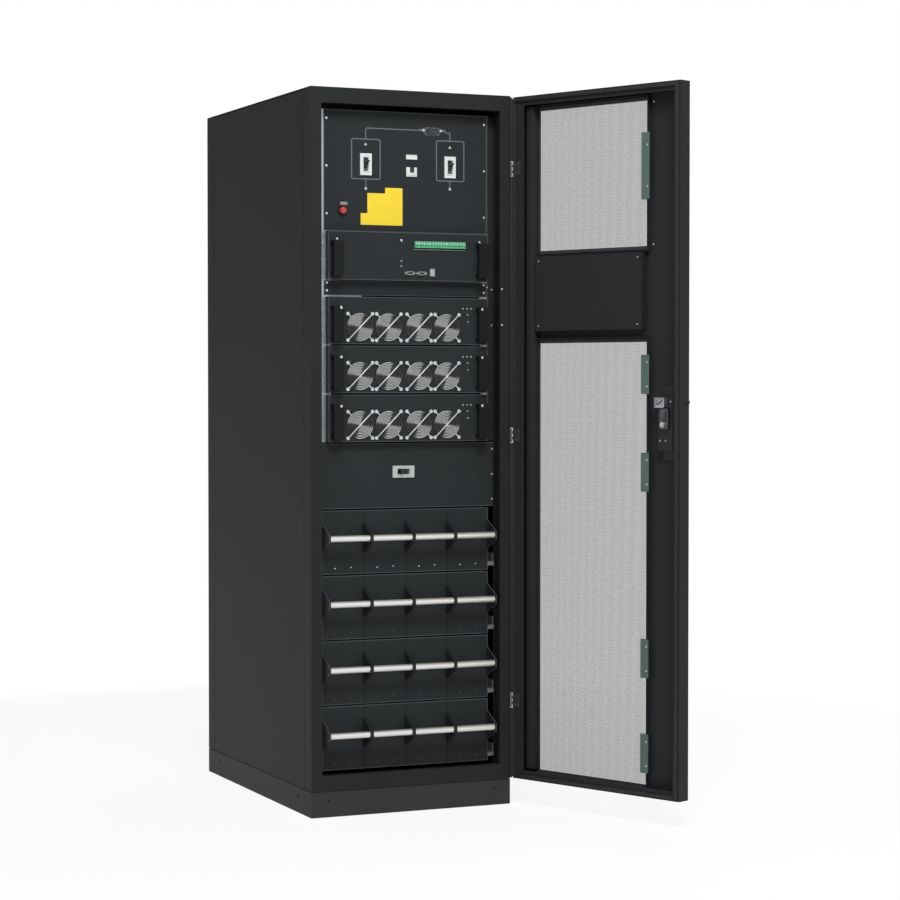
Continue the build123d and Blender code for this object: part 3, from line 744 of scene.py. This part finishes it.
# Indicator bar and selector between the breakers
bar = on_switch("indicator_bar", (-1, 32), (switch_top - 130, switch_top - 117), 2.5)
dish(bar, 1.2 * mm, y=0.7 * mm)
finished(soften(bar, 0.5 * mm), "white_plastic")
selector = on_switch("selector_body", (-1, 31), (switch_top - 178, switch_top - 152), 4)
dish(selector, 3 * mm, y=-1.5 * mm)
finished(soften(selector, 0.7 * mm), "white_plastic")
notch = on_switch("selector_notch", (9, 21), (switch_top - 166, switch_top - 151), 7.5, 5)
dish(notch, 2 * mm, y=0.8 * mm)
finished(soften(notch, 0.5 * mm), "matt_black")

# The isolator's box that hangs from the line
isolator = on_switch("isolator_box", (59, 98), (mimic_level - 11, mimic_level + 7), 3)
round_edges(isolator, in_depth, 5 * mm, 4)
dish(isolator, 2.5 * mm, y=1.2 * mm)
finished(soften(isolator, 0.5 * mm), "black_plastic")

# Hood over the red button
button_low, button_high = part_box("emergency_button")
button_top = ((button_low.x + button_high.x) / 2, switch_face, button_high.z)
hood = block_from("button_hood", button_top, (-10, 10), (-16, 0), (3, 14))
hood_front = ahead_of(switch_face - 15 * mm)
with shaping(hood):
    pick_edges(hood, lambda a, b: hood_front(a, b) and abs(a.x - b.x) > 10 * mm)
    bpy.ops.mesh.bevel(offset=5 * mm, segments=4)
    pick_faces(hood, lambda centre, normal: normal.z < -0.9)
    bpy.ops.mesh.inset(thickness=2 * mm)
    push(z=4 * mm)
finished(soften(hood, 1 * mm), "grey_plastic")

# A pale strip under the left of the blank panel, over the first power module
first_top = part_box("power_module_1_case")[1].z
strip = add_block(
    "blank_strip",
    (blank_low.x + 13 * mm, -133 * mm),
    (blank_high.y, blank_high.y + 3 * mm),
    (first_top + 1 * mm, blank_low.z - 0.5 * mm),
)
dish(strip, 0.8 * mm, y=-1 * mm)
finished(soften(strip, 0.3 * mm, 1), "zinc")

# Rivets of the instruction plate
plate_low, plate_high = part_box("instruction_plate")
rivet = soften(add_round("rivet", (0, -0.4 * mm, 0), 2.2 * mm, 0.8 * mm, sides=16), 0.5 * mm)
rivet_inset = Vector((5, 0, 5)) * mm
low, high = plate_low + rivet_inset, plate_high - rivet_inset
step_rivet = (plate_low.x + 25 * mm, plate_low.z + 83 * mm)
rivet_spots = ((low.x, low.z), (high.x, low.z), (high.x, high.z), step_rivet)
rivet_places = [Vector((x, plate_low.y, z)) for x, z in rivet_spots]
finished(copies(rivet, "plate_rivets", rivet_places), "screw_steel")


# Bezels round the breaker toggles
def make_bezel(name, x, z, y):
    """A raised lip round the slot of a breaker."""
    return soften(make_ring(name, x, (y - 1.2 * mm, y), z, 1.6 * mm), 0.4 * mm)


low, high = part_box("breakers")
bezel_z = span((low.z + high.z) / 2, 22 * mm)
breaker_x = [span(x * mm, 10.5 * mm) for x in (input_x, bypass_x)]
bezels = [make_bezel("bezel", x, bezel_z, low.y) for x in breaker_x]
finished(joined("toggle_bezels", bezels), "white_plastic")
low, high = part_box("battery_breaker")
middle = (low + high) / 2
bezel_x, bezel_z = span(middle.x, 20.5 * mm), span(middle.z, 10 * mm)
bezel = make_bezel("battery_bezel", bezel_x, bezel_z, low.y)
finished(bezel, "dull_white")

# Bypass module
strip_low, strip_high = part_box("terminal_strip")
way_count = 9
way = (strip_high.x - strip_low.x) / way_count
mid_z = (strip_low.z + strip_high.z) / 2
block = add_block(
    "terminal",
    (strip_low.x, strip_low.x + way - 0.5 * mm),
    (strip_low.y, strip_high.y),
    (strip_low.z, strip_high.z),
)
with shaping(block):
    cut_across((0, 0, mid_z), (0, 0, 1))
    cut_across((strip_low.x + way / 2, 0, 0), (1, 0, 0))
    pick_faces(block, to_front)
    bpy.ops.mesh.inset(thickness=1.3 * mm, use_individual=True)
    push(y=4 * mm)
soften(block, 0.4 * mm, 1)
way_places = [Vector((way * index, 0, 0)) for index in range(way_count)]
terminals = copies(block, "terminal_blocks", way_places)
finished(terminals, "green_plastic")
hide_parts("terminal_strip")

clamp = add_round("clamp", (0, 0, 0), 2.2 * mm, 1.6 * mm, sides=12)
dish(clamp, 0.7 * mm, y=0.6 * mm)
clamp_places = [
    Vector((strip_low.x + way * (index + share), strip_low.y + 3.4 * mm, mid_z + 4.4 * mm))
    for index in range(way_count)
    for share in (0.25, 0.73)
]
finished(copies(clamp, "terminal_clamps", clamp_places), "screw_steel")

shelf_x = (strip_low.x - 1 * mm, strip_high.x + 1 * mm)
shelf_z = (strip_low.z - 6 * mm, strip_low.z - 3.4 * mm)
shelf = add_block("terminal_rest", shelf_x, (module_face - 3 * mm, module_face), shelf_z)
finished(soften(shelf, 0.6 * mm), "grey_plastic")

# Two D-shaped sockets, each with two hexagon pillars
sockets, inserts = [], []
for x in (0.5 * mm, 36 * mm):
    spot = (x, module_face, bypass_low.z + 20.5 * mm)
    shell = block_from("shell", spot, (-9.9, 9.9), (-6, -0.9), (-4.29, 4.29))
    with shaping(shell):
        pick_edges(shell, lambda a, b: max(a.z, b.z) < spot[2] and abs(a.x - b.x) > 1 * mm)
        bpy.ops.transform.resize(value=(0.82, 1, 1))
    round_edges(shell, in_depth, 1.4 * mm, 3)
    dish(shell, 0.7 * mm, y=4.5 * mm)
    sockets.append(shell)
    for pillar_x in span(x, 13.2 * mm):
        middle = (pillar_x, module_face - 2.4 * mm, spot[2])
        pillar = add_round("pillar", middle, 2.2 * mm, 4.8 * mm, sides=6)
        dish(pillar, 0.9 * mm, y=2 * mm)
        sockets.append(pillar)
    flange = block_from("flange", spot, (-16.5, 16.5), (-1, 0), (-6.5, 6.5))
    inserts.append(soften(flange, 0.4 * mm, 1))
    insert = block_from("insert", spot, (-8.6, 8.6), (-4.4, -1), (-3.4, 3.4))
    dish(insert, 1 * mm, y=0.8 * mm)
    inserts.append(insert)
finished(joined("signal_sockets", sockets), "screw_steel")
finished(joined("socket_inserts", inserts), "black_plastic")

face_foot = (0, module_face, bypass_low.z)
port = block_from("network_port", face_foot, (61.5, 76.5), (-3, 0), (13, 34))
dish(port, 1.6 * mm, y=2.4 * mm)
finished(soften(port, 0.4 * mm, 1), "zinc")


def make_lens(radius, height):
    """A small domed lens, standing on Y = 0 and facing the front."""
    lens = add_round("lens", (0, -height / 2, 0), radius, height, sides=16)
    round_edges(lens, ahead_of(-height * 0.9), height * 0.6, 3)
    return smooth(lens, 60)


lens_places = [Vector((-24 * mm, module_face, bypass_low.z + rise * mm)) for rise in (54, 40)]
finished(copies(make_lens(2.6 * mm, 2 * mm), "bypass_lamps", lens_places), "pale_lens")


# Power modules
guard_wire = 0.9 * mm
strut_wire = 1.7 * mm
# Painted highlight on the guard rings: brightest at this angle and at the opposite one
painted_highlight_angle = math.radians(121)
eyelet_offset = 36.5 * mm


def make_rings():
    """The fine rings of a finger guard, round the origin in the plane Y = 0, with a painted highlight
    on their points.
    """
    ring_radii = [3.5 + 4.2 * step for step in range(9)]
    rings = [add_ring("ring", (0, 0, 0), radius * mm, guard_wire) for radius in ring_radii]
    rings = joined("rings", rings)
    # Painted highlight: each point of the rings gets 1 at that angle and opposite it, 0 halfway
    # between
    painted_highlight = rings.data.attributes.new("painted_highlight", "FLOAT", "POINT")
    for vertex, value in zip(rings.data.vertices, painted_highlight.data):
        turn = math.atan2(vertex.co.z, vertex.co.x) - painted_highlight_angle
        value.value = 0.5 + 0.5 * math.cos(2 * turn)
    return rings


def make_struts():
    """One long strut, two short ones and the eyelets that hold a finger guard."""
    corner = eyelet_offset * math.sqrt(2)
    struts = []
    for angle, start, end in ((45, -corner, corner), (135, -corner, -36 * mm), (135, 36 * mm, corner)):
        middle, length = (0, 0, (start + end) / 2), end - start - 5 * mm
        rod = add_round("strut", middle, strut_wire, length, sides=8, turn=(0, 0, 0))
        soften(rod, 0.3 * mm, 1)
        turned = Matrix.Rotation(math.radians(angle), 4, "Y")
        rod.data.transform(Matrix.Translation((0, -2 * guard_wire, 0)) @ turned)
        struts.append(rod)
    for x in (-1, 1):
        for z in (-1, 1):
            place = (x * eyelet_offset, -guard_wire, z * eyelet_offset)
            struts.append(add_ring("eyelet", place, 3.8 * mm, 1.4 * mm, sides=16))
    return joined("struts", struts)


def make_blade(hub, bore):
    """A curved blade from the hub to the bore, its front at 4 mm behind Y = 0."""
    start, chord = 4 * mm, 15 * mm
    reach = (hub - 1 * mm, bore - 1.5 * mm)
    blade = add_block("blade", reach, (start, start + chord), span(0, 0.8 * mm))
    with shaping(blade):
        for step in (1, 2, 3, 4):
            cut_across((0, start + 3 * step * mm, 0), (0, 1, 0))
        for step in (1, 2, 3):
            cut_across((hub + step * 5 * mm, 0, 0), (1, 0, 0))
    for vertex in blade.data.vertices:
        along = (vertex.co.y - start) / chord
        outward = (vertex.co.x - hub) / (bore - hub)
        vertex.co.z += (along - 0.5) * (11 + 5 * outward) * mm
        vertex.co.z += math.sin(along * math.pi) * 2.5 * mm - outward * outward * 2 * mm
    return smooth(blade, 50)


def make_fan():
    """A fan frame with its bore, hub and curved blades, its front on Y = 0."""
    half, bore, depth, hub = 40 * mm, 38 * mm, 25 * mm, 17 * mm
    casing = add_block("casing", span(0, half), (0, depth), span(0, half))
    cutter = add_round("cutter", (0, depth / 2, 0), bore, 2 * depth, sides=48)
    apply_modifier(casing, "BOOLEAN", operation="DIFFERENCE", object=cutter)
    bpy.data.objects.remove(cutter)
    hub_cap = add_round("hub", (0, depth / 2 - 2 * mm, 0), hub, depth - 4 * mm, sides=32)
    round_edges(hub_cap, ahead_of(2 * mm), 2.5 * mm, 3)
    turns = [Matrix.Rotation(math.tau * index / 7, 4, "Y") for index in range(7)]
    blades = copies(make_blade(hub, bore), "blades", turns)
    struts = []
    for angle in (0, 90):
        strut_y = (depth - 3.5 * mm, depth - 0.2 * mm)
        strut = add_block("strut", span(0, half - 2 * mm), strut_y, span(0, 2.2 * mm))
        strut.data.transform(Matrix.Rotation(math.radians(angle), 4, "Y"))
        struts.append(soften(strut, 0.6 * mm, 1))
    return joined("fan", [casing, hub_cap, blades, *struts])


fan_x = (-148, -63, 28, 113)
fan_drop = 18 * mm
stand_off = Vector((0, -2.6 * guard_wire, 0))
recess = Vector((0, 3 * mm, 0))
lamp_spots = ((163, 29), (176, 29), (188, 29), (177, 46), (178, 66))
patterns = (
    (make_rings(), "_guards", stand_off, "guard_metal", "bar_metal"),
    (make_struts(), "_struts", stand_off, "strut_metal", "bar_metal"),
    (make_fan(), "_rotors", recess, "fan_plastic", "black_plastic"),
)
for number in (1, 2, 3):
    body = f"power_module_{number}"
    low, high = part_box(body + "_case")
    fan_z = (low.z + high.z) / 2 - fan_drop
    spots = [Vector((x * mm, module_face, fan_z)) for x in fan_x]
    for pattern, ending, offset, finish, slot in patterns:
        made = copies(twin(pattern), body + ending, [spot + offset for spot in spots])
        finished(made, finish, body)
    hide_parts(body + "_fans")
    lamps = [Vector((x * mm, module_face, high.z - drop * mm)) for x, drop in lamp_spots]
    finished(copies(make_lens(2.4 * mm, 1.8 * mm), body + "_lamps", lamps), "pale_lens", body)
    eyelets = [
        (x / mm, z / mm)
        for spot in spots
        for x in span(spot.x, eyelet_offset)
        for z in span(spot.z, eyelet_offset)
    ]
    guard_y = module_face - guard_wire * 3
    front_screws(body + "_screws", guard_y, eyelets, 3.1 * mm, body, height=1.8 * mm)
    grips = pairs(212, (high.z / mm - 31,))
    front_screws(body + "_face_screws", low.y, grips, 4 * mm, body)
for pattern, *_ in patterns:
    bpy.data.objects.remove(pattern)


# Battery trays
pack_x = (-189, -63, 63, 189)
nut_reach = 61.4 * mm
for number in (1, 2, 3, 4):
    body = f"battery_tray_{number}"
    low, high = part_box(body + "_fronts")
    # The same screws on every tray: the lower three trays' screws take the dark steel as painted
    # shade, and the top tray's keep the bright steel
    front_screws(
        body + "_screws",
        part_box(body + "_box")[0].y - 4 * mm,
        [(x + side * 24, low.z / mm + rise) for x in pack_x for side, rise in ((-1, 16), (1, 18))],
        radius=2.2 * mm,
        body=body,
        height=1.2 * mm,
        finish="screw_steel" if number == 1 else "dark_screw",
    )
    bar_low, bar_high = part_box(body + "_bars")
    bar = (bar_low + bar_high) / 2
    across = (0, math.radians(90), 0)
    nut = add_round("nut", (0, 0, 0), 5.5 * mm, 2.4 * mm, sides=6, turn=across)
    soften(nut, 0.5 * mm, 1)
    nut_places = [Vector((end, bar.y, bar.z)) for x in pack_x for end in span(x * mm, nut_reach)]
    finished(copies(nut, body + "_bar_nuts", nut_places), "matt_black", body)


# Door, modelled shut and then swung open
door_low, door_high = shut_box("door_frame")
cover_low, cover_high = shut_box("display_cover")
frame_low, frame_high = shut_box("window_frames")
hinges_low, hinges_high = shut_box("door_hinges")
frame_margin = 14 * mm
cover_drop, cover_rise = 34 * mm, 16 * mm
door_outer, door_skin_inner, door_inner = door_low.y, frame_low.y, door_high.y
window_x = (cover_low.x, cover_high.x)
lower_window = (frame_low.z + frame_margin, cover_low.z - cover_drop)
upper_window = (cover_high.z + cover_rise, frame_high.z - frame_margin)
mesh_pitch, level_pitch = 3.2 * mm, 6.4 * mm
upright_wire, level_wire = 1.3 * mm, 0.25 * mm
mesh_layer = 0.5 * mm
mesh_thickness = 1.5 * mm
mesh_overlap = 9 * mm
wire_overlap = 3 * mm


def make_wires(x, y, z, step, room):
    """Flat wires side by side: the first one between the given values, the rest by steps."""
    wire = add_block("wire", x, y, z)
    crown(wire, 0.05 * mm, 0.1 * mm, to_back)
    return apply_modifier(
        wire,
        "ARRAY",
        count=int(room / Vector(step).length) + 1,
        use_relative_offset=False,
        use_constant_offset=True,
        constant_offset_displace=step,
    )


# Each window has a fine mesh of upright and level wires in a plain border
upright_y = (door_skin_inner + 0.8 * mm, door_skin_inner + 0.8 * mm + mesh_layer)
level_y = (door_skin_inner + 0.3 * mm, door_skin_inner + 0.3 * mm + mesh_layer)
width = window_x[1] - window_x[0]
borders = []
for name, (low, high) in (("lower_mesh", lower_window), ("upper_mesh", upper_window)):
    ends_x = (window_x[0] - wire_overlap, window_x[1] + wire_overlap)
    ends_z = (low - wire_overlap, high + wire_overlap)
    first_x, first_z = span(window_x[0], upright_wire / 2), span(low, level_wire / 2)
    upright = make_wires(first_x, upright_y, ends_z, (mesh_pitch, 0, 0), width)
    level = make_wires(ends_x, level_y, first_z, (0, 0, level_pitch), high - low)
    finished(joined(name, [upright, level]), "mesh_sheet", "door")
    border_x = (window_x[0] - mesh_overlap, window_x[1] + mesh_overlap)
    border_y = (door_skin_inner, door_skin_inner + mesh_thickness)
    border_z = (low - mesh_overlap, high + mesh_overlap)
    borders.append(make_ring("border", border_x, border_y, border_z, mesh_overlap))
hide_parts("door_mesh")
finished(joined("mesh_borders", borders), "mesh_sheet", "door")

# The box section that stiffens the hinge side, behind the lip
stile_box = add_block(
    "stile_box",
    (window_x[1] + 4 * mm, door_high.x - 37 * mm),
    (door_skin_inner, door_skin_inner + 26 * mm),
    (door_low.z + 29 * mm, door_high.z - 29 * mm),
)
finished(soften(stile_box, 2 * mm), "door_coat", "door")

# A soft seal round the inside of the door, broken at the hinges
seal_depth, seal_width, seal_inset = 6.5 * mm, 9 * mm, 5 * mm
bulb_radius = 3.4 * mm
leaf_half = 20 * mm
hinge_heights = (
    hinges_low.z + leaf_half,
    (hinges_low.z + hinges_high.z) / 2,
    hinges_high.z - leaf_half,
)


def seal_strip(x, z):
    strip = add_block("seal", x, (door_inner, door_inner + seal_depth), z)
    crest = door_inner + seal_depth / 2
    round_edges(strip, lambda a, b: min(a.y, b.y) > crest, 1.5 * mm, 2)
    return smooth(strip)


seal_low, seal_high = door_low.z + seal_inset, door_high.z - seal_inset
seal_left = (door_low.x + seal_inset, door_low.x + seal_inset + seal_width)
seal_right = (door_high.x - seal_width, door_high.x + 1.4 * mm)
seals = [
    seal_strip(seal_left, (seal_low, seal_high)),
    seal_strip((seal_left[1], seal_right[0]), (seal_low, seal_low + seal_width)),
    seal_strip((seal_left[1], seal_right[0]), (seal_high - seal_width, seal_high)),
]
stops = [seal_low]
for z in hinge_heights:
    stops += span(z, leaf_half + 1 * mm)
stops.append(seal_high)
for low, high in zip(stops[::2], stops[1::2]):
    seals.append(seal_strip(seal_right, (low, high)))
    if low == seal_low:
        low = door_low.z + 1 * mm
    if high == seal_high:
        high = door_high.z - 1 * mm
    middle = (hinge_line.x, hinge_line.y, (low + high) / 2)
    bulb = add_round("bulb", middle, bulb_radius, high - low, sides=20, turn=(0, 0, 0))
    seals.append(soften(bulb, 0.8 * mm))
finished(joined("door_seal", seals), "seal_rubber", "door")

# Clips that hook over the window's frame on the latch side, and their screws
hook_x = (window_x[0] - 20 * mm, window_x[0] + 6 * mm)
hook_y = (frame_high.y, frame_high.y + 2 * mm)
hooks, hook_spots = [], []
for (low, high), places, half in (
    (lower_window, (0.072, 0.287, 0.707, 0.927), 53 * mm),
    (upper_window, (0.55,), 90 * mm),
):
    for place in places:
        middle = low + place * (high - low)
        hook = add_block("hook", hook_x, hook_y, span(middle, half))
        with shaping(hook):
            pick_faces(hook, lambda centre, normal: normal.x > 0.9)
            push(x=2 * mm)
            pick_faces(hook, lambda centre, normal: normal.y < -0.9 and centre.x > hook_x[1])
            push(y=door_skin_inner - frame_high.y)
        hooks.append(soften(hook, 0.6 * mm, 1))
        hook_spots += [(hook_x[0] + 6 * mm, z) for z in span(middle, half * 0.62)]
finished(joined("mesh_hooks", hooks), "clip_sheet", "door")
door_screws("clip_screws", hook_y[1], hook_spots, 3.4 * mm, 1.8 * mm)

# The lock: a dark plate behind its case, screws, a latch block above the spindle and the
# lever that links them
lock_low, lock_high = shut_box("door_lock")
lock = (lock_low + lock_high) / 2
lock_face = door_skin_inner + 22 * mm
cam_face = lock_face + 4.3 * mm
lock_base = (lock.x, door_skin_inner, lock.z)
lock_plate = block_from("lock_plate", lock_base, (-33, 26), (0, 3), (-96, 104))
round_edges(lock_plate, in_depth, 6 * mm, 4)
finished(soften(lock_plate, 0.8 * mm), "lock_black", "door")
lock_offsets = ((-1, -43), (18, -43), (-18, 62), (18, 62))
lock_spots = [(lock.x + x * mm, lock.z + z * mm) for x, z in lock_offsets]
door_screws("lock_screws", lock_face, lock_spots, 2.4 * mm, 1.2 * mm)
latch_block = block_from("latch_block", lock_base, (-6, 28), (22, 36), (46, 73))
round_edges(latch_block, in_depth, 3 * mm, 3)
dish(latch_block, 6 * mm, to_back, y=-4 * mm)
finished(soften(latch_block, 1 * mm), "hinge_steel", "door")
lever = block_from("cam_lever", (lock.x, cam_face, lock.z), (-15, 15), (0, 4), (-12, 44))
round_edges(lever, in_depth, 7 * mm, 5)
dish(lever, 5 * mm, to_back, y=-1.5 * mm)
finished(soften(lever, 0.7 * mm), "lever_metal", "latch")
spindle_cap = add_round("spindle_cap", (lock.x, cam_face + 6 * mm, lock.z), 8 * mm, 9 * mm)
dish(spindle_cap, 2.5 * mm, to_back, y=-1.5 * mm)
finished(soften(spindle_cap, 1 * mm), "screw_steel", "latch")

# A pin through the free edge of the door, level with the latch block
pin_spot = (door_low.x - 2.5 * mm, door_outer + 9 * mm, lock.z + 60 * mm)
edge_pin = add_round("edge_pin", pin_spot, 5.5 * mm, 7 * mm, turn=(0, math.radians(90), 0))
dish(edge_pin, 2 * mm, lambda centre, normal: normal.x < -0.9, x=1 * mm)
finished(soften(edge_pin, 0.8 * mm), "matt_black", "door")

# Screen and keys of the display outside
display_low, display_high = shut_box("display")
display = (display_low + display_high) / 2
screen_spot = (display.x, display_low.y, display.z)
screen = block_from("screen", screen_spot, (-102, 102), (1.2, 2), (-57, 57))
crown(screen, 3 * mm, -0.2 * mm)
finished(screen, "screen_glass", "door")
key_z = display.z - 68.5 * mm
key_spots = [Vector((display.x + x * mm, display_low.y, key_z)) for x in (-36, -12, 12, 36)]
keys = copies(make_lens(4.2 * mm, 2 * mm), "display_keys", key_spots)
finished(keys, "grey_plastic", "door")

# Hinge screws, on the door's and on the cabinet's leaves
leaf_screw_x, leaf_screw_y = 302 * mm, -434 * mm
door_leaf_x = (door_high.x - 21 * mm, door_high.x - 8 * mm)
leaf_levels = [level for z in hinge_heights for level in span(z, 12 * mm)]
leaf_spots = [(x, z) for z in leaf_levels for x in door_leaf_x]
leaf_face = door_inner + 2 * mm
door_screws("door_hinge_screws", leaf_face, leaf_spots, 3.4 * mm, 2.2 * mm, "dark_screw")
leaf_turn = Matrix.Rotation(math.radians(90), 4, "Z")
leaf_places = [
    Matrix.Translation((leaf_screw_x, leaf_screw_y, z)) @ leaf_turn for z in leaf_levels
]
leaf_screws = copies(make_screw(3.2 * mm, 1.8 * mm), "cabinet_hinge_screws", leaf_places)
finished(leaf_screws, "dark_screw")

# Screws of the display's cover and of the upper window's frame
cover_spots = [
    (x, z)
    for x in (window_x[0] + 14 * mm, window_x[1] - 14 * mm)
    for z in (cover_low.z + 14 * mm, cover_high.z - 14 * mm)
]
door_screws("cover_screws", cover_high.y, cover_spots, 2.6 * mm, 1.4 * mm)
frame_levels = (upper_window[1] - 4 * mm, upper_window[0] + 4 * mm)
frame_spots = [(window_x[0] - 22 * mm, z) for z in frame_levels]
door_screws("frame_screws", door_skin_inner, frame_spots, 3 * mm)

# Rear panel screws
rear_y = 450 * mm
about_back = Matrix.Rotation(math.pi, 4, "Z")
rear_places = [
    Matrix.Translation((x * mm, rear_y, z * mm)) @ about_back
    for x, z in pairs(254, (110, 420, 730, 1040, 1350, 1660, 1960))
]
rear_screws = copies(make_screw(4 * mm, 2.2 * mm), "rear_panel_screws", rear_places)
finished(rear_screws, "screw_steel")

# Studio
scene = bpy.context.scene
scene.view_settings.view_transform = "Standard"

bpy.ops.mesh.primitive_plane_add(size=60, location=(0, 0, 0))
floor = bpy.context.object
floor.name = "studio_floor"
ground = Finish("studio_floor", (0.9, 0.9, 0.9), 0.8)
cloud = ground.mix(ground.noise(2.5, 2), (0.88, 0.88, 0.88), (0.91, 0.91, 0.91))
ground.set("Base Color", cloud)
distance = ground.node("ShaderNodeVectorMath", {"operation": "LENGTH"}, {0: ground.place}, "Value")
camera_ray = ground.node("ShaderNodeLightPath", {}, {}, "Is Camera Ray")
glossy_ray = ground.node("ShaderNodeLightPath", {}, {}, "Is Glossy Ray")
seen = camera_ray.most(glossy_ray)
white = ground.node("ShaderNodeEmission", {}, {"Color": (1, 1, 1, 1), "Strength": 1.0})
far = ground.ramp(distance, 0.6, 2.6)
shadow_share = 0.14
shares = {0: far.most(1 - shadow_share) * seen, 1: Wire(ground, ground.shader.outputs[0]), 2: white}
surface = ground.node("ShaderNodeMixShader", {}, shares)
output = ground.tree.nodes["Material Output"]
ground.tree.links.new(surface.socket, output.inputs["Surface"])
floor.data.materials.append(ground.material)

world = bpy.data.worlds.new("studio")
scene.world = world
world.use_nodes = True
tree = world.node_tree
sky = tree.nodes["Background"]
path = tree.nodes.new("ShaderNodeLightPath")
backdrop = tree.nodes.new("ShaderNodeBackground")
for background, strength in ((sky, 0.4), (backdrop, 1.0)):
    background.inputs["Color"].default_value = (1, 1, 1, 1)
    background.inputs["Strength"].default_value = strength
mixer = tree.nodes.new("ShaderNodeMixShader")
sources = (path.outputs["Is Camera Ray"], sky.outputs[0], backdrop.outputs[0])
for index, source in enumerate(sources):
    tree.links.new(source, mixer.inputs[index])
tree.links.new(mixer.outputs[0], tree.nodes["World Output"].inputs["Surface"])


def softbox(name, place, target, size, power):
    lamp = bpy.data.lights.new(name, "AREA")
    lamp.shape = "SQUARE"
    lamp.size = size
    lamp.energy = power
    holder = bpy.data.objects.new(name, lamp)
    scene.collection.objects.link(holder)
    holder.location = place
    holder.rotation_euler = (Vector(target) - Vector(place)).to_track_quat("-Z", "Y").to_euler()


softbox("key_light", (-0.9, -4.6, 5.4), (0, 0, 1.0), 2.0, 285)
softbox("fill_light", (2.5, -6.0, 2.0), (0, 0, 1.0), 3.0, 36)
softbox("side_light", (-5.5, -3.0, 2.0), (0, 0, 1.0), 2.5, 18)
softbox("back_light", (4.0, 4.5, 3.5), (0, 0, 1.0), 3.0, 120)

view = bpy.data.cameras.new("photo_view")
view.sensor_width = 36
view.lens = 97.94
camera = bpy.data.objects.new("photo_view", view)
scene.collection.objects.link(camera)
camera.location = (-2.6359, -6.7146, 1.1949)
camera.rotation_euler = (math.radians(90 - 1.586), 0, math.radians(-23.701))
scene.camera = camera
